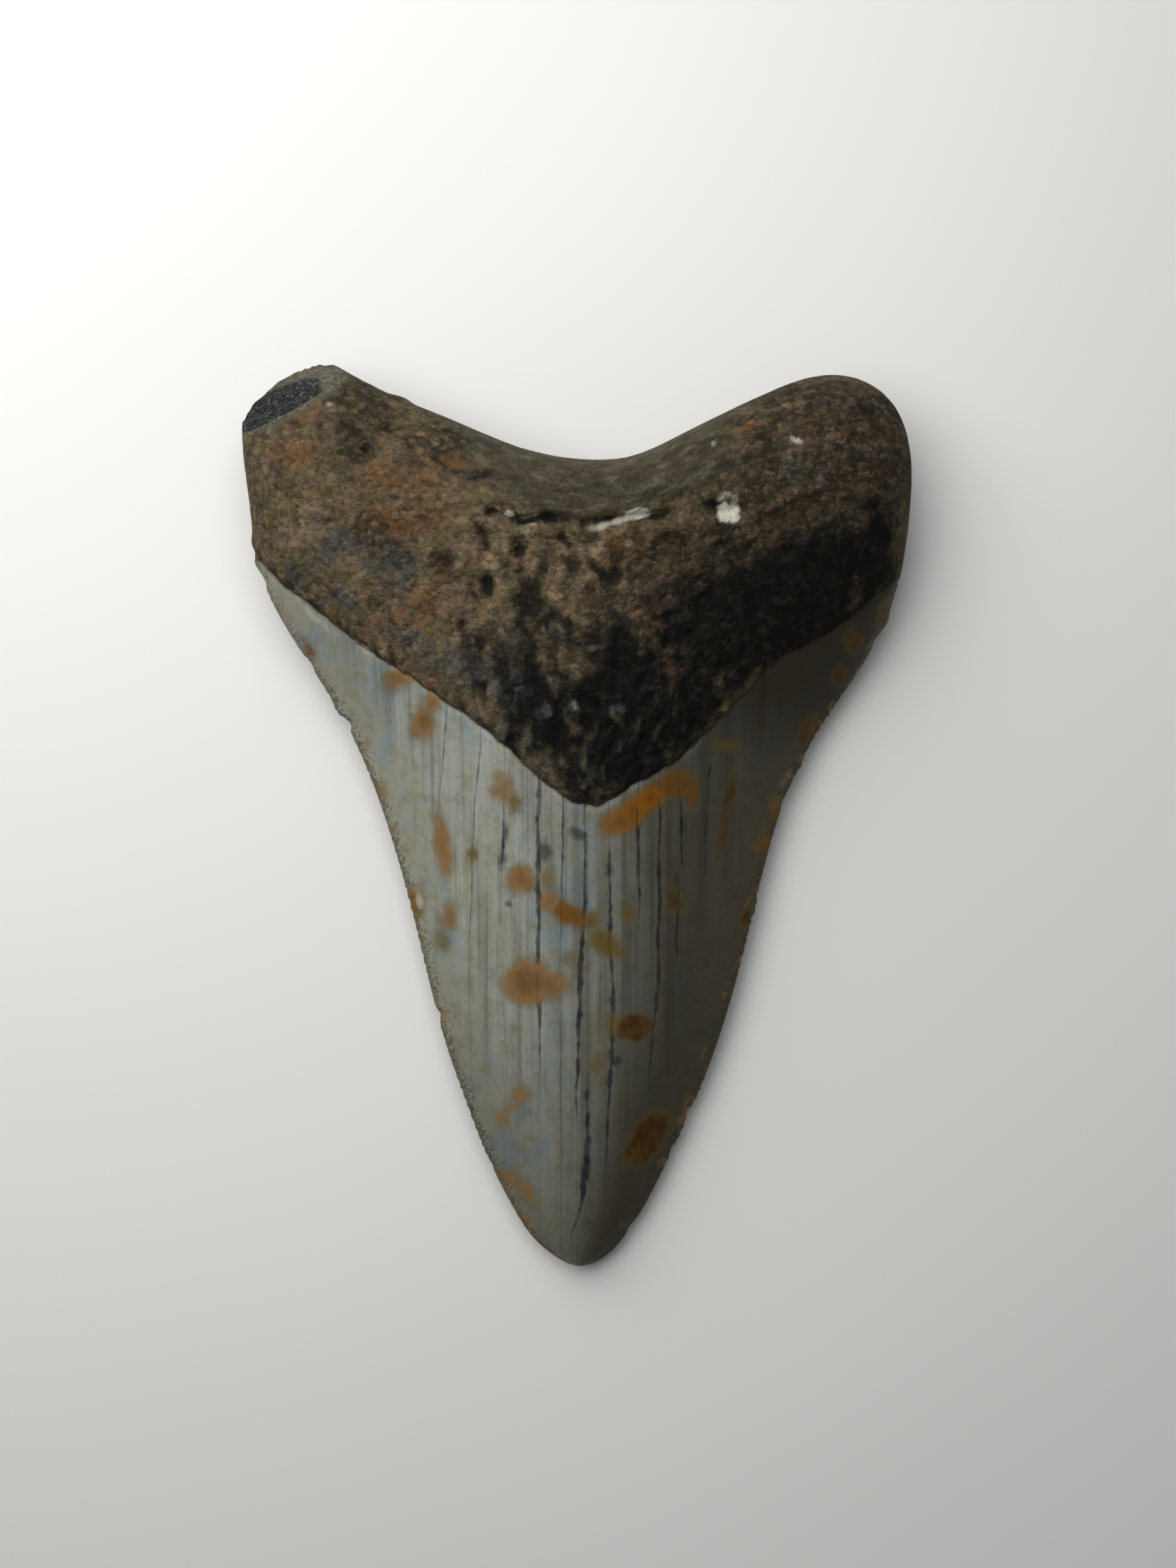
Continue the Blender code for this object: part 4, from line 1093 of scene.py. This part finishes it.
FACTOR, COLOUR_A, COLOUR_B, COLOUR_OUT = 0, 6, 7, 2  # sockets of a Mix node for colours
FLOAT_A, FLOAT_B, FLOAT_OUT = 2, 3, 0  # and of one for numbers


def share_of(value, span):
    return (value - span[0]) / (span[1] - span[0])


def bend_curve(outputs, points):
    """Gives the curve of a Float Curve node these points, level beyond its ends."""
    mapping = outputs[0].node.mapping
    mapping.extend = "HORIZONTAL"
    curve = mapping.curves[0]
    first, *others, last = sorted(points)
    curve.points[0].location, curve.points[1].location = first, last
    for place, value in others:
        curve.points.new(place, value)
    mapping.update()
    return outputs[0]


def crack_mask(tree, x, y, beads):
    """0 away from the cracks and 1 in them. Each crack has a curve for its x along y and one for its half
    width, which swells and shrinks in beads."""
    height = add_node(tree, "MapRange", {0: y, 1: CRACK_SPAN_Y[0], 2: CRACK_SPAN_Y[1]})[0]
    deepest = -WIDEST_CRACK
    for crack in CRACKS:
        down = [(share_of(cy, CRACK_SPAN_Y), share_of(cx, CRACK_SPAN_X)) for cx, cy, _ in crack]
        wide = [(share_of(cy, CRACK_SPAN_Y), CRACK_SHARE * half / WIDEST_CRACK) for _, cy, half in crack]
        wide += [(wide[0][0] + CRACK_END, 0.0), (wide[-1][0] - CRACK_END, 0.0)]
        curves = (add_node(tree, "FloatCurve", {"Value": height}) for _ in range(2))
        middle, half = (bend_curve(curve, points) for curve, points in zip(curves, (down, wide)))
        middle = add_node(tree, "MapRange", {0: middle, 3: CRACK_SPAN_X[0], 4: CRACK_SPAN_X[1]})[0]
        off = add_node(tree, "Math", {0: x, 1: middle}, operation="SUBTRACT")[0]
        off = add_node(tree, "Math", {0: off}, operation="ABSOLUTE")[0]
        steps = (("MULTIPLY", beads), ("SUBTRACT", off), ("SUBTRACT", CRACK_FADE), ("MAXIMUM", deepest))
        deepest = half
        for operation, other in steps:
            deepest = add_node(tree, "Math", {0: deepest, 1: other}, operation=operation)[0]
    inputs = {0: deepest, 1: CRACK_RIM[0], 2: CRACK_RIM[1]}
    return add_node(tree, "MapRange", inputs, interpolation_type="SMOOTHSTEP")[0]


def random_fields(tree, place, kind, rows, first=0):
    """The fields of a table by name, each from a part of its own of the noise."""
    made = {}
    for number, (name, (size, stretch, *quality)) in enumerate(rows.items(), first):
        shift = [FIELD_SHIFT * number] * 3
        inputs = {"Vector": place, "Location": shift, "Scale": [1.0 / (size * s) for s in stretch]}
        inputs = {"Vector": add_node(tree, "Mapping", inputs)[0], "Scale": 1.0}
        inputs.update(zip(("Detail", "Roughness"), quality))
        made[name] = add_node(tree, kind, inputs)[0]
    return made


def grain_fields(tree, place):
    """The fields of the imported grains: cells whose place a soft noise has strayed."""
    made = {}
    inputs = {"Vector": place, "Scale": 1.0 / STRAY_SIZE, "Detail": STRAY_DETAIL}
    inputs = {0: add_node(tree, "TexNoise", inputs)["Color"], 1: [STRAY] * 3, 2: place}
    strayed = add_node(tree, "VectorMath", inputs, operation="MULTIPLY_ADD")[0]
    for name, (size, stretch) in GRAINS.items():
        inputs = {"Vector": strayed, "Scale": [1.0 / (size * s) for s in stretch]}
        inputs = {"Vector": add_node(tree, "Mapping", inputs)[0], "Scale": 1.0}
        distance, colour_here, *_ = add_node(tree, "TexVoronoi", inputs)
        made[name + " rim"] = distance
        parts = add_node(tree, "SeparateColor", {0: colour_here})
        made.update((f"{name} {letter}", part) for letter, part in zip("abc", parts))
    return made


def crack_field(tree, mm, made):
    """The cracks of the enamel, fainter where the mottling says. They waver sideways by a soft field. The lower
    face has the same ones, mirrored and shifted."""
    x, y, _ = add_node(tree, "SeparateXYZ", {0: mm})
    turn, shift = UNDER_CRACKS
    other = add_node(tree, "Math", {0: x, 1: turn, 2: shift}, operation="MULTIPLY_ADD")[0]
    inputs = {FACTOR: made["upper_face"], FLOAT_A: other, FLOAT_B: x}
    x = add_node(tree, "Mix", inputs)[FLOAT_OUT]
    bent = add_node(tree, "Math", {0: made["bend"], 1: CRACK_BEND, 2: x}, operation="MULTIPLY_ADD")[0]
    bent = add_node(tree, "Math", {0: bent, 1: 0.5 * CRACK_BEND}, operation="SUBTRACT")[0]
    beads, level = (add_node(tree, "MapRange", {0: made[name], **dict(enumerate(spans, 1))})[0]
                    for name, spans in (("beads", BEADS_TO_WIDTH), ("mottle", MOTTLE_TO_CRACK)))
    mask = crack_mask(tree, bent, y, beads)
    for other in (made["enamel"], level):
        mask = add_node(tree, "Math", {0: mask, 1: other}, operation="MULTIPLY")[0]
    return mask


def add_masks(tree, made):
    """Adds each mask of the table to the named fields."""
    for name, mask in MASKS.items():
        value = made[mask.field]
        if mask.noise:
            inputs = {0: made[mask.noise], 1: mask.weight, 2: value}
            value = add_node(tree, "Math", inputs, operation="MULTIPLY_ADD")[0]
        inputs = {0: value, 1: mask.low, 2: mask.high, 4: mask.strength}
        value = add_node(tree, "MapRange", inputs, interpolation_type="SMOOTHSTEP")[0]
        if mask.times:
            value = add_node(tree, "Math", {0: value, 1: made[mask.times]}, operation="MULTIPLY")[0]
        made[name] = value


def laid_over(tree, base, layers, made, colours):
    """A colour with the layers' colours over it, each where its mask says."""
    for mask, name in layers:
        over = getattr(colours, name)
        inputs = {FACTOR: made[mask], COLOUR_A: base, COLOUR_B: over}
        base = add_node(tree, "Mix", inputs, data_type="RGBA")[COLOUR_OUT]
    return base


def fossil_tooth(colours, fields):
    """The material of the whole tooth, from the tables above and the fields on its vertices."""
    material = bpy.data.materials.new("fossil_tooth")
    material.use_nodes = True
    tree = material.node_tree
    metres = add_node(tree, "TexCoord", {})["Object"]
    mm = add_node(tree, "VectorMath", {0: metres, "Scale": 1.0 / MM}, operation="SCALE")[0]
    made = {name: add_node(tree, "Attribute", {}, attribute_name=name)["Fac"] for name in fields}
    made.update(random_fields(tree, mm, "TexNoise", NOISES))
    made.update(random_fields(tree, mm, "TexVoronoi", DOTS, DOTS_FIRST))
    made.update(grain_fields(tree, mm))
    x = add_node(tree, "SeparateXYZ", {0: mm})[0]
    along_notch = add_node(tree, "CombineXYZ", {0: x, 1: made["from_basal_edge"]})[0]
    made.update(random_fields(tree, along_notch, "TexNoise", NOTCH_NOISES))
    add_masks(tree, made)
    for name, strength in STRENGTHS:
        made[name] = add_node(tree, "Math", {0: made[name], 1: made[strength]}, operation="MULTIPLY")[0]
    made["crack"] = crack_field(tree, mm, made)

    base = laid_over(tree, colours.root_dark, LAYERS, made, colours)
    stain = laid_over(tree, colours.tan_stain, TONES, made, colours)
    stain = laid_over(tree, stain, STAIN_MARKS, made, colours)
    base = laid_over(tree, base, HALO, made, colours)
    inputs = {FACTOR: made["stain"], COLOUR_A: base, COLOUR_B: stain}
    base = add_node(tree, "Mix", inputs, data_type="RGBA")[COLOUR_OUT]
    base = laid_over(tree, base, TOP_LAYERS, made, colours)

    rough = ROOT_ROUGHNESS
    for mask, value in ROUGHNESSES:
        rough = add_node(tree, "Mix", {FACTOR: made[mask], FLOAT_A: rough, FLOAT_B: value})[FLOAT_OUT]
    height = 0.0
    for name, amount, kept_to in FINE_RELIEF:
        value = made[name]
        if kept_to:
            value = add_node(tree, "Math", {0: value, 1: made[kept_to]}, operation="MULTIPLY")[0]
        height = add_node(tree, "Math", {0: value, 1: amount, 2: height}, operation="MULTIPLY_ADD")[0]
    normal = add_node(tree, "Bump", {"Height": height, "Distance": MM})[0]

    shader = tree.nodes["Principled BSDF"]
    shader.inputs["IOR"].default_value = FLUORAPATITE_IOR
    shader.inputs["Specular IOR Level"].default_value = MICRO_PITTED_SHINE
    tree.links.new(base, shader.inputs["Base Color"])
    tree.links.new(rough, shader.inputs["Roughness"])
    tree.links.new(normal, shader.inputs["Normal"])
    return material


def painted_table(floor_colour):
    """Painted table top: sprayed lacquer, pale and even, with a faint soft sheen and barely seen clouds."""
    material = bpy.data.materials.new("painted_table")
    material.use_nodes = True
    tree = material.node_tree
    place = add_node(tree, "TexCoord", {})["Object"]
    clouds_here = add_node(tree, "TexNoise", {"Vector": place, "Scale": LACQUER_CLOUDS, "Detail": LACQUER_DETAIL})[0]
    tone = add_node(tree, "MapRange", {0: clouds_here, 3: LACQUER_TONES[0], 4: LACQUER_TONES[1]})[0]
    inputs = {0: floor_colour[:3], "Scale": tone}
    tone = add_node(tree, "VectorMath", inputs, operation="SCALE")[0]
    shader = tree.nodes["Principled BSDF"]
    shader.inputs["Roughness"].default_value = LACQUER_ROUGHNESS
    tree.links.new(tone, shader.inputs["Base Color"])
    return material


# ---------------------------------------------------------------- operators


class FOSSIL_OT_tooth(bpy.types.Operator):
    """Build the tooth's surface and its finish"""

    bl_idname = "fossil.tooth"
    bl_label = "Build Tooth"

    def execute(self, context):
        scene = context.scene
        mesh = tooth_surface(scene.tooth_shape)
        fields = [made.name for made in mesh.attributes if (made.data_type, made.domain) == ("FLOAT", "POINT")]
        mesh.materials.append(fossil_tooth(scene.tooth_colours, fields))
        tooth = bpy.data.objects.new("tooth_surface", mesh)
        scene.collection.objects.link(tooth)
        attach(tooth, "root")
        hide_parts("tooth")
        return {"FINISHED"}


def floor_mesh(side):
    """A flat square on z = 0, as a grid of x and y from one side to the other."""
    along = np.linspace(-0.5 * side, 0.5 * side, FLOOR_POINTS)
    x, y = np.meshgrid(along, along)
    points = np.stack([x, y, np.zeros_like(x)], axis=-1).reshape(-1, 3)
    index = np.arange(x.size).reshape(x.shape)
    corners = [index[:-1, :-1], index[:-1, 1:], index[1:, 1:], index[1:, :-1]]
    faces = np.stack([corner.ravel() for corner in corners], axis=1)
    mesh = bpy.data.meshes.new("table_top")
    mesh.from_pydata(points.tolist(), [], faces.tolist())
    return mesh


class FOSSIL_OT_stage(bpy.types.Operator):
    """Build the floor, the lights and the camera"""

    bl_idname = "fossil.stage"
    bl_label = "Build Stage"

    def execute(self, context):
        scene = context.scene
        stage = scene.tooth_stage
        mesh = floor_mesh(stage.floor_size)
        mesh.materials.append(painted_table(stage.floor))
        floor = bpy.data.objects.new("table_top", mesh)
        scene.collection.objects.link(floor)

        light = bpy.data.lights.new("window_light", "AREA")
        light.shape = "SQUARE"
        light.energy = stage.key_power
        light.size = stage.key_size
        key = bpy.data.objects.new("window_light", light)
        key.location = Vector(KEY_DIRECTION).normalized() * stage.key_distance
        key.rotation_euler = (-key.location).to_track_quat("-Z", "Y").to_euler()
        key.visible_camera = False
        scene.collection.objects.link(key)

        world = bpy.data.worlds.new("room")
        world.use_nodes = True
        background = world.node_tree.nodes["Background"]
        background.inputs["Color"].default_value = linear(ROOM_COLOUR)
        background.inputs["Strength"].default_value = stage.fill
        scene.world = world

        camera = bpy.data.cameras.new("camera")
        camera.lens = stage.lens
        camera.clip_start, camera.clip_end = CAMERA_CLIP
        above_tooth = bpy.data.objects.new("camera", camera)
        above_tooth.location = (CAMERA_OVER[0] * MM, CAMERA_OVER[1] * MM, stage.camera_height)
        scene.collection.objects.link(above_tooth)
        scene.camera = above_tooth
        scene.view_settings.view_transform = "Standard"
        return {"FINISHED"}


class FOSSIL_PT_panel(bpy.types.Panel):
    """Sizes and colours of the tooth and its stage"""

    bl_label = "Fossil tooth"
    bl_idname = "FOSSIL_PT_panel"
    bl_space_type = "VIEW_3D"
    bl_region_type = "UI"
    bl_category = "Fossil tooth"

    def draw(self, context):
        scene = context.scene
        for operator, groups in (("fossil.tooth", (scene.tooth_shape, scene.tooth_colours)),
                                 ("fossil.stage", (scene.tooth_stage,))):
            box = self.layout.box()
            for group in groups:
                for name in group.bl_rna.properties.keys():
                    if name not in ("rna_type", "name"):
                        box.prop(group, name)
            box.operator(operator)


CLASSES = (ToothShape, ToothColours, StageSettings, FOSSIL_OT_tooth, FOSSIL_OT_stage, FOSSIL_PT_panel)


def register():
    for made in CLASSES:
        bpy.utils.register_class(made)
    bpy.types.Scene.tooth_shape = PointerProperty(type=ToothShape)
    bpy.types.Scene.tooth_colours = PointerProperty(type=ToothColours)
    bpy.types.Scene.tooth_stage = PointerProperty(type=StageSettings)


def unregister():
    del bpy.types.Scene.tooth_shape
    del bpy.types.Scene.tooth_colours
    del bpy.types.Scene.tooth_stage
    for made in reversed(CLASSES):
        bpy.utils.unregister_class(made)


def main():
    register()
    bpy.ops.fossil.tooth()
    bpy.ops.fossil.stage()


if __name__ == "__main__":
    main()
